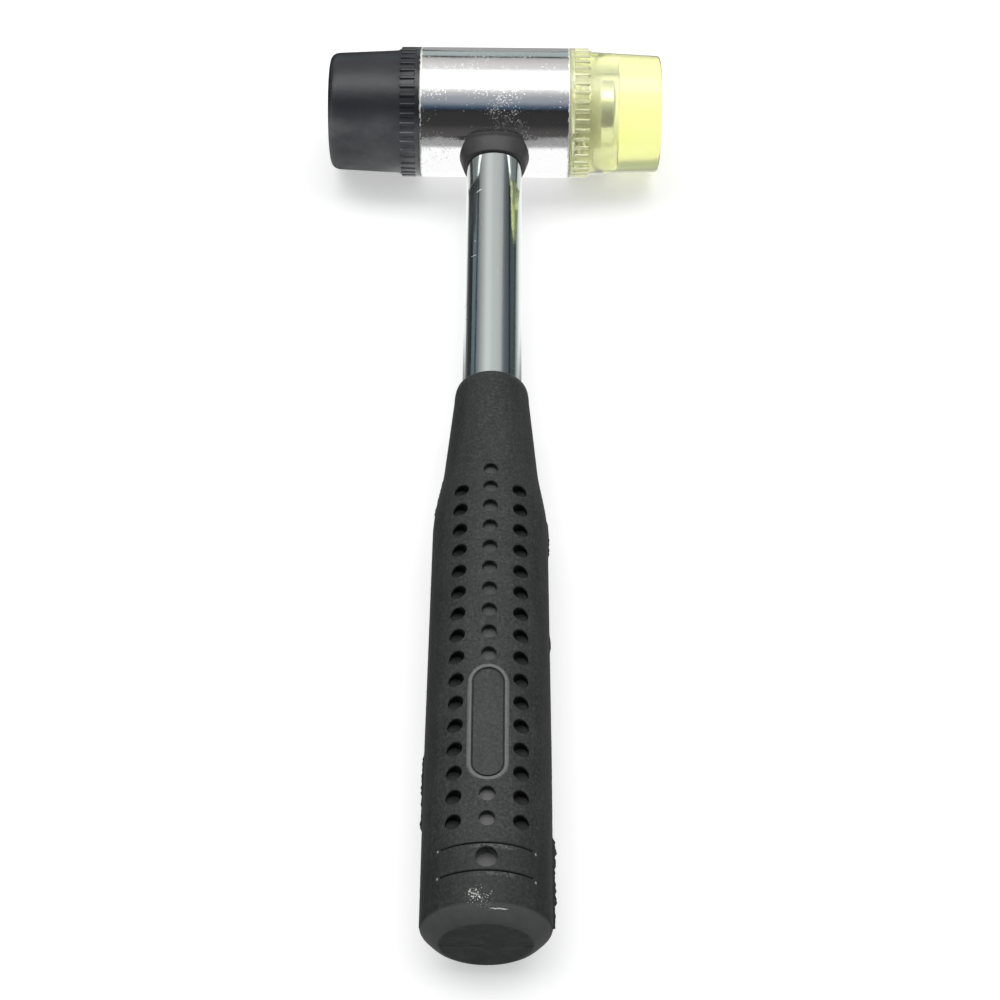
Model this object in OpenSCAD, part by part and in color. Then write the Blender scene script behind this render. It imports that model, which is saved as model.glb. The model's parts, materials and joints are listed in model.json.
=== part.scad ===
// Soft face hammer with a rubber face and a plastic face that screw on to a plated steel head.
// It lies on a bench: the head runs along X, the handle points to -Y, and up is +Z.

/* [Head] */
// Diameter of the plated head
head_d = 35; // [30:0.5:45]
// Length of the head between the seats of its two faces
head_len = 41; // [32:0.5:60]
// Chamfer on the head's rims
head_rim = 0.5; // [0.2:0.1:1]

/* [Studs] */
// Thread diameter of the studs that the faces screw on to
stud_d = 20; // [14:0.5:22]
// Length of each stud, with its plain nose
stud_len = 12; // [8:0.5:16]
// Length of the plain nose past the thread
nose_len = 4.4; // [2:0.1:6]
// How far the nose stands in from the thread's crests
nose_step = 1; // [0.5:0.1:2]
// Chamfer on each nose's tip
stud_tip = 1.4; // [0.5:0.1:2]
// Width of the thread relief at a stud's root
relief_w = 2; // [1:0.1:3]
// Depth of the thread relief
relief_depth = 1.2; // [0.5:0.1:2]

/* [Faces] */
// Length of each face from its seat to its striking end
face_len = 24.3; // [20:0.1:34]
// Height of the ribs above a face's tapered body, at the seat
rib_rise = 0.7; // [0.4:0.1:1.5]
// How far the taper draws in by the striking end
face_draw = 1.2; // [0.5:0.1:2.5]
// Edge radius of the black rubber face
rubber_edge = 2.7; // [1:0.1:4]
// Edge radius of the yellow plastic face
plastic_edge = 1; // [0.5:0.1:4]
// Width of the ribbed ring, with its flange
ring_w = 4.9; // [3:0.1:8]
// Width of the plain flange at the seat
flange_w = 1.1; // [0.5:0.1:2]
// Number of ribs round a face
rib_count = 42; // [24:1:48]
// Width of one rib
rib_w = 1.3; // [0.8:0.1:1.9]

/* [Handle] */
// Distance from the head's axis to the butt
handle_len = 246; // [220:1:320]
// Outside diameter of the tube
tube_d = 14.6; // [12:0.1:16]
// Wall of the tube
tube_wall = 1.5; // [1:0.1:2.5]
// Length of the plug that spreads the tube in the head
plug_len = 18; // [10:0.5:26]

/* [Collar] */
// Height of the collar above the head
collar_h = 5.1; // [3:0.1:9]
// Rubber at the collar's lower lip
collar_lip = 0.6; // [0.4:0.1:2]
// Half angle of the collar's cone
collar_angle = 15.6; // [6:0.1:24]

/* [Grip] */
// Length of the grip
grip_len = 147; // [136:1:170]
// Diameter of the grip over most of its length
grip_d = 27.8; // [25:0.1:32]
// How much the body still widens after the shoulder
body_swell = 0.45; // [0.2:0.05:1]
// Length over which the body still widens
swell_len = 60; // [30:1:80]
// Rubber over the tube at the top of the neck
neck_wall = 1.85; // [1.2:0.05:2.5]
// Length of the rounded lip at the mouth
lip_len = 4; // [2:0.1:7]
// Length of the tapered neck
neck_len = 21.5; // [16:0.5:30]
// Length of the shoulder
shoulder_len = 18; // [12:0.5:26]
// Half angle of the neck's taper
neck_angle = 5.2; // [2:0.1:7]
// Chamfer round the butt
butt_chamfer = 3.4; // [2:0.1:5]
// Rubber between the tube's end and the butt
butt_wall = 8; // [5:0.5:12]

/* [Grip holes] */
// Diameter of the blind holes
hole_d = 3.6; // [2.4:0.1:4]
// Depth of the blind holes
hole_depth = 2.5; // [1:0.1:3.5]
// Spacing of the holes along the grip
hole_pitch = 5.75; // [4.8:0.05:6.2]
// Distance from the mouth to the first hole
first_hole = 32.8; // [30:0.1:42]
// Angle between the middle row and a side row
row_angle = 30.6; // [28:0.1:36]

/* [Label place] */
// Number of holes that the bare label place stands in for
label_holes = 5; // [4:1:7]
// Number of holes between the label place and the butt
tail_holes = 2; // [1:1:4]
// Width of the label place
label_w = 9.5; // [8:0.1:10]
// Gap between the label place and the holes next to it
label_gap = 0.8; // [0.4:0.1:1.5]
// Width of the raised ring round the label place
label_ring = 1.15; // [0.6:0.05:1.6]
// Rise of that ring
label_rise = 0.3; // [0.1:0.05:0.6]
// Width of the groove inside the ring
label_groove = 0.45; // [0.3:0.05:0.8]

/* [Butt grip] */
// Distance from the butt to the large blind hole
thumb_from_butt = 13.4; // [11:0.1:16]
// Diameter of the large blind hole
thumb_d = 4.8; // [3:0.1:5]
// Depth of the large blind hole
thumb_depth = 4; // [2:0.1:5]
// Distance from the large hole to the groove on either side of it
groove_offset = 3.1; // [2.5:0.1:4]
// Width of the two grooves
groove_w = 1; // [0.6:0.1:1.6]
// Depth of the two grooves
groove_depth = 0.9; // [0.4:0.1:1.6]
// Angle that a groove reaches to on either side
groove_angle = 44.5; // [30:0.5:55]

/* [Hidden] */
$fn = 96;

// Clearance between a stud and the socket of its face
socket_clear = 0.3;
// Room left past a stud's tip
socket_room = 1;
// Chamfer at the mouth of a socket
socket_mouth = 0.8;
// Chamfer on the plug's leading end
plug_lead = 1.5;
// Depth of the turning centre in the plug's end
centre_depth = 1.2;
// Rubber at the very edge of the grip's mouth
mouth_wall = 0.9;
// Overrun of cuts past the surfaces that they open
overrun = 1;
// Points along each curved stretch of the grip's outline
curve_steps = 8;

head_r = head_d / 2;
stud_r = stud_d / 2;
nose_r = stud_r - nose_step;
thread_end = stud_len - nose_len;
socket_r = stud_r + socket_clear;
socket_depth = stud_len + socket_room;
tube_r = tube_d / 2;
tube_in_r = tube_r - tube_wall;
grip_r = grip_d / 2;
butt_r = grip_r - butt_chamfer;

// The tube stops level with the head where its wall leaves the top of the cross bore
tube_top = sqrt(head_r * head_r - tube_r * tube_r);
tube_end = handle_len - butt_wall;
mouth_at = handle_len - grip_len;
butt_edge_at = handle_len - butt_chamfer;

// The head and the edge of the butt both touch the bench
lie_angle = asin(head_r / norm([butt_edge_at, grip_r])) - atan2(grip_r, butt_edge_at);
butt_reach = handle_len * cos(lie_angle) + butt_r * sin(lie_angle);
head_y = (butt_reach - head_r) / 2;

// Grip outline as radius and distance from the head's axis, from the mouth to the butt
neck_at = mouth_at + lip_len;
shoulder_at = neck_at + neck_len;
body_at = shoulder_at + shoulder_len;
mouth_r = tube_r + mouth_wall;
neck_r = tube_r + neck_wall;
neck_slope = tan(neck_angle);
neck_end_r = neck_r + neck_len * neck_slope;
shoulder_r = grip_r - body_swell;
swell_slope = body_swell / swell_len;

// Smooth step from one radius and slope to the next, over a run whose share s goes from 0 to 1
function blend(r0, r1, slope0, slope1, run, s) =
    r0 * (1 + 2 * s) * pow(1 - s, 2) + run * slope0 * s * pow(1 - s, 2)
    + r1 * (3 - 2 * s) * pow(s, 2) - run * slope1 * pow(s, 2) * (1 - s);

lip_points = [
    for (k = [0 : curve_steps - 1])
        let (a = 90 * k / curve_steps)
        [mouth_r + (neck_r - mouth_r) * sin(a), mouth_at + lip_len * (1 - cos(a))]
];
shoulder_points = [
    for (k = [0 : curve_steps])
        let (s = k / curve_steps)
        let (r = blend(neck_end_r, shoulder_r, neck_slope, swell_slope, shoulder_len, s))
        [r, shoulder_at + shoulder_len * s]
];
grip_outline = concat(
    lip_points,
    [[neck_r, neck_at]],
    shoulder_points,
    [[grip_r, body_at + swell_len], [grip_r, butt_edge_at], [butt_r, handle_len]]
);
grip_table = [for (p = grip_outline) [p[1], p[0]]];
function grip_r_at(t) = lookup(t, grip_table);

// The thumb hole and its grooves are set from the butt, and the rows of holes fill the rest
thumb_at = handle_len - thumb_from_butt;
groove_start = thumb_at - groove_offset - groove_w / 2;
first_hole_at = mouth_at + first_hole;
row_holes = floor((groove_start - hole_d / 2 - first_hole_at) / hole_pitch);
function hole_at(i) = first_hole_at + i * hole_pitch;

// The middle row has one hole more than a side row, and gives some up to the label place on top
label_start = row_holes + 1 - tail_holes - label_holes;
label_end = label_start + label_holes;
label_at = hole_at(label_start + (label_holes - 1) / 2);
label_len = (label_holes + 1) * hole_pitch - hole_d - 2 * label_gap;
full_row = [for (i = [0 : row_holes]) i];
label_row = [for (i = full_row) if (i < label_start || i >= label_end) i];

// Puts the hammer down on the bench, midway along its length
module laid_down() {
    translate([0, head_y, head_r]) rotate([lie_angle, 0, 0]) children();
}

// Turns Z along the handle, towards the butt, with Y up
module along_handle() {
    rotate([90, 0, 0]) children();
}

// Turns Z along the head, towards the plastic face
module along_head() {
    rotate([0, 90, 0]) children();
}

// A cylinder round the head's axis, long enough to cut whatever meets the head
module head_cylinder(r) {
    along_head() cylinder(r = r, h = head_len, center = true);
}

// One end of the head with its stud, as radius and distance along the head
module head_half() {
    seat = head_len / 2;
    tip = seat + stud_len;
    rotate_extrude() polygon([
        [0, 0],
        [head_r, 0],
        [head_r, seat - head_rim],
        [head_r - head_rim, seat],
        [stud_r - relief_depth, seat],
        [stud_r - relief_depth, seat + relief_w - relief_depth],
        [stud_r, seat + relief_w],
        [stud_r, seat + thread_end - nose_step],
        [nose_r, seat + thread_end],
        [nose_r, tip - stud_tip],
        [nose_r - stud_tip, tip],
        [0, tip]
    ]);
}

module head_body() color("silver") laid_down() difference() {
    union() {
        along_head() head_half();
        mirror([1, 0, 0]) along_head() head_half();
    }
    along_handle() cylinder(r = tube_r, h = head_d + 2 * overrun, center = true);
}

// A rib with a round end, standing out from the middle of its face's wall
module rib() {
    wall_r = (socket_r + head_r) / 2;
    straight = ring_w - rib_w / 2;
    translate([wall_r, 0, 0]) rotate([0, 90, 0]) linear_extrude(head_r) {
        translate([-straight, -rib_w / 2]) square([straight, rib_w]);
        translate([-straight, 0]) circle(d = rib_w);
    }
}

// Tapered body of a face with a round striking edge, as radius and distance from the seat
module face_outline(edge) {
    root_r = head_r - rib_rise;
    tip_r = root_r - face_draw;
    taper = atan(face_draw / face_len);
    edge_r = tip_r + edge * tan(taper) - edge / cos(taper);
    edge_at = face_len - edge;
    polygon([
        [0, 0],
        [root_r, 0],
        [edge_r + edge * cos(taper), edge_at + edge * sin(taper)],
        [edge_r, face_len],
        [0, face_len]
    ]);
    translate([edge_r, edge_at]) circle(r = edge);
}

// A face along Z, with its seat at zero, its ribbed ring and the socket for its stud
module face(edge) {
    difference() {
        union() {
            rotate_extrude() face_outline(edge);
            intersection() {
                cylinder(r = head_r, h = face_len);
                union() {
                    cylinder(r = head_d, h = flange_w);
                    for (i = [0 : rib_count - 1]) rotate([0, 0, 360 * i / rib_count]) rib();
                }
            }
        }
        rotate_extrude() polygon([
            [0, -overrun],
            [socket_r + socket_mouth + overrun, -overrun],
            [socket_r, socket_mouth],
            [socket_r, socket_depth],
            [0, socket_depth]
        ]);
    }
}

module rubber_face() color("dimgray") laid_down()
    mirror([1, 0, 0]) translate([head_len / 2, 0, 0]) along_head() face(rubber_edge);

module plastic_face() color("khaki") laid_down()
    translate([head_len / 2, 0, 0]) along_head() face(plastic_edge);

module handle_tube() color("lightsteelblue") laid_down() along_handle() difference() {
    translate([0, 0, -tube_top]) cylinder(r = tube_r, h = tube_top + tube_end);
    translate([0, 0, -tube_top - overrun]) cylinder(r = tube_in_r, h = tube_top + tube_end + 2 * overrun);
}

// Plug with a turning centre in its outer end and a chamfered lead
module tube_plug() color("slategray") laid_down() along_handle() translate([0, 0, -tube_top])
    rotate_extrude() polygon([
        [0, centre_depth],
        [centre_depth, 0],
        [tube_in_r, 0],
        [tube_in_r, plug_len - plug_lead],
        [tube_in_r - plug_lead, plug_len],
        [0, plug_len]
    ]);

// Cone of rubber that follows the head's curve at both of its ends
module collar() color("#303236") laid_down() difference() {
    lip_at = head_r + collar_h;
    lip_r = tube_r + collar_lip;
    root_r = lip_r + lip_at * tan(collar_angle);
    intersection() {
        along_handle() cylinder(r1 = root_r, r2 = lip_r, h = lip_at);
        head_cylinder(lip_at);
    }
    head_cylinder(head_r);
    along_handle() cylinder(r = tube_r, h = lip_at + overrun);
}

// Outer form of the grip, grown or shrunk by a rise, down to the tube's axis
module grip_form(rise) {
    rotate_extrude() polygon(concat(
        [[0, mouth_at]],
        [for (p = grip_outline) [p[0] + rise, p[1]]],
        [[0, handle_len]]
    ));
}

// A straight bar with round ends that stands up through the top of the grip at the label place
module label_bar(width) {
    length = label_len - label_w + width;
    straight = length - width;
    rotate([-90, 0, 0]) {
        translate([-width / 2, -label_at - straight / 2, 0]) cube([width, straight, grip_d]);
        for (end = [-1, 1]) translate([0, -label_at + end * straight / 2, 0]) cylinder(d = width, h = grip_d);
    }
}

// Wall between two such bars
module label_wall(outer, inner) {
    difference() {
        label_bar(outer);
        label_bar(inner);
    }
}

// A blind hole with a flat floor, sunk straight down at one place on the grip's top
module blind_hole(t, angle, d, depth) {
    surface_r = grip_r_at(t);
    floor_y = surface_r * cos(angle) - depth;
    translate([surface_r * sin(angle), floor_y, t]) rotate([-90, 0, 0]) cylinder(d = d, h = grip_d - floor_y);
}

// Middle row, two side rows that start one hole later, and the thumb hole between its grooves
module top_cuts(middle_row) {
    for (i = middle_row) blind_hole(hole_at(i), 0, hole_d, hole_depth);
    for (side = [-1, 1], i = [1 : row_holes]) blind_hole(hole_at(i), side * row_angle, hole_d, hole_depth);
    blind_hole(thumb_at, 0, thumb_d, thumb_depth);
    groove_half = grip_r * sin(groove_angle);
    difference() {
        for (side = [-1, 1])
            translate([-groove_half, 0, thumb_at + side * groove_offset - groove_w / 2])
                cube([2 * groove_half, grip_d, groove_w]);
        grip_form(-groove_depth);
    }
}

module grip() color("#3c3e3e") laid_down() along_handle() difference() {
    inner_w = label_w - 2 * label_ring;
    union() {
        grip_form(0);
        intersection() {
            label_wall(label_w, inner_w);
            grip_form(label_rise);
        }
    }
    translate([0, 0, mouth_at - overrun]) cylinder(r = tube_r, h = tube_end - mouth_at + overrun);
    top_cuts(label_row);
    mirror([0, 1, 0]) top_cuts(full_row);
    difference() {
        label_wall(inner_w, inner_w - 2 * label_groove);
        grip_form(-label_groove);
    }
}

head_body();
rubber_face();
plastic_face();
handle_tube();
tube_plug();
collar();
grip();
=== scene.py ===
# %% [markdown]
# # A soft face hammer, dressed in Blender
#
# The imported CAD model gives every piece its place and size. This lesson keeps that frame still and builds
# finer pieces over it: lathe-turned plated steel, moulded rubber with its sunk holes, a milky yellow
# plastic face, and the threads that the CAD model leaves plain. The frame is loaded first, and its box is
# kept, because the dressed hammer has to stay inside it.

# %% Load the frame
import json
import math

import bmesh
import bpy
from mathutils import Matrix, Vector, noise


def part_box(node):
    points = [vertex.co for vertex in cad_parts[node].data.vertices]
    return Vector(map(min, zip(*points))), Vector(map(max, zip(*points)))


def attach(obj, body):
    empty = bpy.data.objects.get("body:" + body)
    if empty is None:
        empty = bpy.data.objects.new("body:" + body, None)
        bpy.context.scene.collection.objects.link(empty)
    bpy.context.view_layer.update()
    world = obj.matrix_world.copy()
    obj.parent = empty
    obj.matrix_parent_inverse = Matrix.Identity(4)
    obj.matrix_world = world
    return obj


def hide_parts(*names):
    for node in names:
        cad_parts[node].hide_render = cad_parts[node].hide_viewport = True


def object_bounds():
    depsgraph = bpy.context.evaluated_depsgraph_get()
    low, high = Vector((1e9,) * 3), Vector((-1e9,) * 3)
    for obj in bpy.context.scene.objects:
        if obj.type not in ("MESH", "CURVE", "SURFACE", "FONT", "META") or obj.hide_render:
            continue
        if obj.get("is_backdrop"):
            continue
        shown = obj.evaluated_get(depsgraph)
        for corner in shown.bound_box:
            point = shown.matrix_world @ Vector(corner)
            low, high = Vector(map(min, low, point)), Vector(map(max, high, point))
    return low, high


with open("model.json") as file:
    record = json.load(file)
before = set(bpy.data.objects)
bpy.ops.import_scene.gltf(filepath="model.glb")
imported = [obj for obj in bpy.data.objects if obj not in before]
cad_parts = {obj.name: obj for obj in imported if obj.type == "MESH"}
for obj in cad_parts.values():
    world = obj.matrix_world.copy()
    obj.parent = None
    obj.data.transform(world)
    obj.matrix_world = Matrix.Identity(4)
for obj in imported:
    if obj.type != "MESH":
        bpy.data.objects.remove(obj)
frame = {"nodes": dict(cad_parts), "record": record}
cad_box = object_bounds()
scene = bpy.context.scene
record = frame["record"]
print("nodes:", ", ".join(sorted(frame["nodes"])))

# %% [markdown]
# ## Measures
#
# Numbers could be typed in again from the CAD source, but then a change there would leave the looks
# behind. So the main sizes are read from the boxes of the CAD nodes and from the record's mount at the
# butt, and only what a box can't tell is written down. Shapes are drawn in millimetres, and one matrix
# puts them in place in metres.

# %% Read the main sizes from the frame
MM = 0.001
head_low, head_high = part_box("head_body")
face_low, face_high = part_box("plastic_face")
tube_low, tube_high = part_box("handle_tube")
grip_low, grip_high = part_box("grip")
butt_mount = next(m for m in record["mounts"] if m["name"] == "butt")

HEAD_AT = (head_low + head_high) / 2
HEAD_R = (head_high.z - head_low.z) / 2 / MM
SEAT = face_low.x / MM
FACE_LEN = face_high.x / MM - SEAT
STUD_LEN = head_high.x / MM - SEAT
TUBE_R = (tube_high.x - tube_low.x) / 2 / MM
GRIP_R = (grip_high.x - grip_low.x) / 2 / MM
DOWN_HANDLE = Vector(butt_mount["axis"]).normalized()
HANDLE_LEN = (Vector(butt_mount["pos_m"]) - HEAD_AT).dot(DOWN_HANDLE) / MM
LIE = math.asin(-DOWN_HANDLE.z)
print(f"head {2 * HEAD_R:.1f} mm across, handle {HANDLE_LEN:.1f} mm long")
print(f"handle lying at {math.degrees(LIE):.2f} degrees")

# %% Frames to draw in
LAID = Matrix.Translation(HEAD_AT) @ Matrix.Rotation(LIE, 4, "X") @ Matrix.Scale(MM, 4)
ALONG_HEAD = LAID @ Matrix.Rotation(math.pi / 2, 4, "Y")
ALONG_HANDLE = LAID @ Matrix.Rotation(math.pi / 2, 4, "X")
print("Z runs along the head in one frame, and down the handle in the other")

# %% [markdown]
# ## Camera
#
# The photograph looks down at the hammer from the butt's side. The camera's place, direction and focal
# length come from a fit of the head, the tube, the rows of holes and the butt, so no shift is needed: the
# lens points where the picture's middle is. Two of the camera's axes are given as they were fitted, and
# the third follows from them.

# %% Camera
FOCAL_SHARE = 2.13024
CAMERA_AT = (0.0014, -0.32408, 0.41794)
camera_data = bpy.data.cameras.new("photo_camera")
camera_data.sensor_width = 36
camera_data.lens = FOCAL_SHARE * camera_data.sensor_width
camera_data.clip_start = 0.01
camera = bpy.data.objects.new("photo_camera", camera_data)
looking = Vector((0.0016, 0.60578, -0.79559)).normalized()
across = Vector((1.0, 0.0061, 0.00659))
across = (across - looking * across.dot(looking)).normalized()
upward = across.cross(looking)
turned = Matrix((across, upward, -looking)).transposed().to_4x4()
camera.matrix_world = Matrix.Translation(CAMERA_AT) @ turned
scene.collection.objects.link(camera)
scene.camera = camera
scene.view_settings.view_transform = "Standard"
print(f"camera with a {camera_data.lens:.1f} mm lens")

# %% [markdown]
# ## Writing finishes as sums
#
# A finish is a graph of nodes, and a graph written link by link hides the idea. Here a small class wraps
# one socket, so `1 - mask` or `grain * 0.3 + 0.1` adds the Math nodes by itself. Every other node comes
# from one method, which takes the node's kind, its settings and the values of its sockets.

# %% A socket that can be added and multiplied
class Value:
    """One output of a node, which takes part in sums."""

    def __init__(self, finish, socket):
        self.finish = finish
        self.socket = socket

    def math(self, operation, first, second):
        return self.finish.node("ShaderNodeMath", {"operation": operation}, {0: first, 1: second})

    def other(self, name):
        """Another output of the same node."""
        return Value(self.finish, self.socket.node.outputs[name])

    def __abs__(self):
        return self.math("ABSOLUTE", self, 0.0)

    def __add__(self, other):
        return self.math("ADD", self, other)

    def __radd__(self, other):
        return self.math("ADD", other, self)

    def __sub__(self, other):
        return self.math("SUBTRACT", self, other)

    def __rsub__(self, other):
        return self.math("SUBTRACT", other, self)

    def __mul__(self, other):
        return self.math("MULTIPLY", self, other)

    def __rmul__(self, other):
        return self.math("MULTIPLY", other, self)


print("sockets can be added and multiplied")

# %% A finish, and the nodes in it
class Finish:
    """A material or a world, built node by node."""

    def __init__(self, owner):
        owner.use_nodes = True
        self.owner = owner
        self.tree = owner.node_tree
        self.tree.nodes.clear()

    def node(self, kind, settings=None, sockets=None, out=0):
        """Adds a node of a kind, with its settings and socket values, and gives back one output."""
        made_node = self.tree.nodes.new(kind)
        for name, setting in (settings or {}).items():
            if name == "stops":
                self.set_stops(made_node.color_ramp, setting)
            else:
                setattr(made_node, name, setting)
        for name, value in (sockets or {}).items():
            if isinstance(value, Value):
                self.tree.links.new(value.socket, made_node.inputs[name])
            else:
                made_node.inputs[name].default_value = value
        return Value(self, made_node.outputs[out]) if len(made_node.outputs) else made_node

    def set_stops(self, ramp, stops):
        """Fills a colour ramp from places and colours."""
        while len(ramp.elements) < len(stops):
            ramp.elements.new(1.0)
        for element, (place, colour) in zip(ramp.elements, stops):
            element.position = place
            element.color = (*colour, 1.0)

    def ramp(self, share, stops):
        """The colour that a ramp of places and colours has at a share between 0 and 1."""
        return self.node("ShaderNodeValToRGB", {"stops": stops}, {"Fac": share}, "Color")

    def object_place(self, scale=(1, 1, 1), turn=(0, 0, 0), shift=(0, 0, 0)):
        """Object coordinates that are scaled, then turned and then shifted."""
        here = self.node("ShaderNodeTexCoord", out="Object")
        return self.node("ShaderNodeMapping", {"vector_type": "POINT"},
                         {"Vector": here, "Rotation": turn, "Scale": scale, "Location": shift})

    def laid_place(self):
        """Object coordinates with the head's middle as zero and the handle straight along -Y."""
        middle = Matrix.Rotation(-LIE, 3, "X") @ HEAD_AT
        return self.object_place(turn=(-LIE, 0, 0), shift=-middle)

    def parts(self, vector):
        """The three numbers of a vector."""
        split = self.node("ShaderNodeSeparateXYZ", None, {0: vector})
        return split, split.other(1), split.other(2)

    def distance(self, place, point):
        """How far a place is from a point given in millimetres."""
        point = Vector(point) * MM
        return self.node("ShaderNodeVectorMath", {"operation": "DISTANCE"}, {0: place, 1: point}, "Value")

    def length(self, first, second):
        """How long a flat arrow with these two parts is."""
        return self.distance(self.node("ShaderNodeCombineXYZ", None, {0: first, 1: second}), (0, 0, 0))

    def from_head_line(self):
        """How far a place is from the line through the head's two ends."""
        _, across, height = self.parts(self.laid_place())
        return self.length(across, height)

    def cloud(self, place, scale, detail=3.0, roughness=0.55):
        """Soft noise between 0 and 1, with so many lumps to the metre."""
        return self.node("ShaderNodeTexNoise", None,
                         {"Vector": place, "Scale": scale, "Detail": detail, "Roughness": roughness}, "Fac")

    def ragged(self, place, scale, reach):
        """The same place pushed about by noise, so that round spots turn ragged."""
        push = self.node("ShaderNodeTexNoise", None,
                         {"Vector": place, "Scale": scale, "Detail": 2.0}, "Color")
        return self.node("ShaderNodeVectorMath", {"operation": "MULTIPLY_ADD"},
                         {0: push, 1: (reach, reach, reach), 2: place})

    def cells(self, place, scale):
        """How far a place is from the middle of its cell, with so many cells to the metre."""
        return self.node("ShaderNodeTexVoronoi", None, {"Vector": place, "Scale": scale}, "Distance")

    def rise(self, value, low, high):
        """A smooth step from 0 at low to 1 at high."""
        return self.node("ShaderNodeMapRange", {"interpolation_type": "SMOOTHSTEP"},
                         {"Value": value, "From Min": low, "From Max": high}, "Result")

    def mix(self, share, first, second):
        """A colour that goes from first to second."""
        return self.node("ShaderNodeMix", {"data_type": "RGBA"}, {0: share, 6: first, 7: second}, 2)

    def layered(self, colour, coats):
        """A colour under coats of other tones, each with the share that it covers."""
        for share, tone in coats:
            colour = self.mix(share, colour, (*tone, 1))
        return colour

    def product(self, first, second):
        """Two colours multiplied."""
        return self.node("ShaderNodeMix", {"data_type": "RGBA", "blend_type": "MULTIPLY"},
                         {0: 1.0, 6: first, 7: second}, 2)

    def blend(self, share, first, second):
        """A surface that goes from first to second."""
        return self.node("ShaderNodeMixShader", None, {0: share, 1: first, 2: second})

    def bump(self, height, depth):
        """Surface relief from a height between 0 and 1 and a depth in metres."""
        return self.node("ShaderNodeBump", None, {"Height": height, "Strength": 1.0, "Distance": depth})

    def skin(self, inside=None, **sockets):
        """A Principled surface, and what fills the body, as the material's output."""
        named = {name.replace("_", " "): value for name, value in sockets.items()}
        self.show(self.node("ShaderNodeBsdfPrincipled", None, named), inside)
        return self.owner

    def show(self, surface, inside=None):
        """Ends the graph with the output of a world or a material."""
        in_world = isinstance(self.owner, bpy.types.World)
        kind = "ShaderNodeOutputWorld" if in_world else "ShaderNodeOutputMaterial"
        links = {"Surface": surface, "Volume": inside}
        self.node(kind, None, {name: link for name, link in links.items() if link})


def finish_named(name):
    """A new material, still empty."""
    return Finish(bpy.data.materials.new(name))


print("finishes can be written as sums")

# %% [markdown]
# ## Bright plating
#
# The head and the tube are steel with a bright plating. What makes plating look real is not its colour
# but what it mirrors, and the small faults that bend the mirror: pits where the plating missed, a little
# waviness left by the polishing, and smears that spread the gloss. The tube adds fine scratches along its
# length and a few short marks. At both ends of the head the plating stops in a ragged line: the shoulders
# behind the faces are turned steel, the threads are matt, and the noses past them are smooth again. Image
# textures could hold all this, but masks by place stay sharp from any distance. Both pieces have the same
# finish in different amounts, so one function makes them.

# %% Plating for the head and the tube
STUD_R = 10.0
NOSE_FROM = 7.6
BARE_FROM = -0.75
NOWHERE = (900, 1000)

# Middle from the head's middle, turn from the X axis, half length and half width, in millimetres and radians
TUBE_MARKS = [
    ((-3.7, -35.8, 6.3), 0.3, 1.1, 0.2),
    ((-4.9, -58.1, 5.4), -0.35, 1.0, 0.2),
    ((-4.5, -53.2, 5.8), 0, 0.3, 0.22),
    ((-6.8, -72.8, 2.7), 0.3, 0.35, 0.25),
    ((-6.4, -77.5, 3.4), 0, 0.3, 0.3),
]


def short_mark(f, place, middle, turn, length, width):
    """1 on one short mark, from its middle, its turn from the X axis and its half sizes."""
    apart = f.node("ShaderNodeVectorMath", {"operation": "SUBTRACT"}, {0: place, 1: Vector(middle) * MM})
    level = f.node("ShaderNodeMapping", {"vector_type": "POINT"},
                   {"Vector": apart, "Rotation": (0, 0, -turn)})
    shares = (1 / (length * MM), 1 / (width * MM), 0.3 / MM)
    spread = f.node("ShaderNodeVectorMath", {"operation": "MULTIPLY"}, {0: level, 1: shares})
    return 1 - f.rise(f.distance(spread, (0, 0, 0)), 0.6, 1.0)


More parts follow.
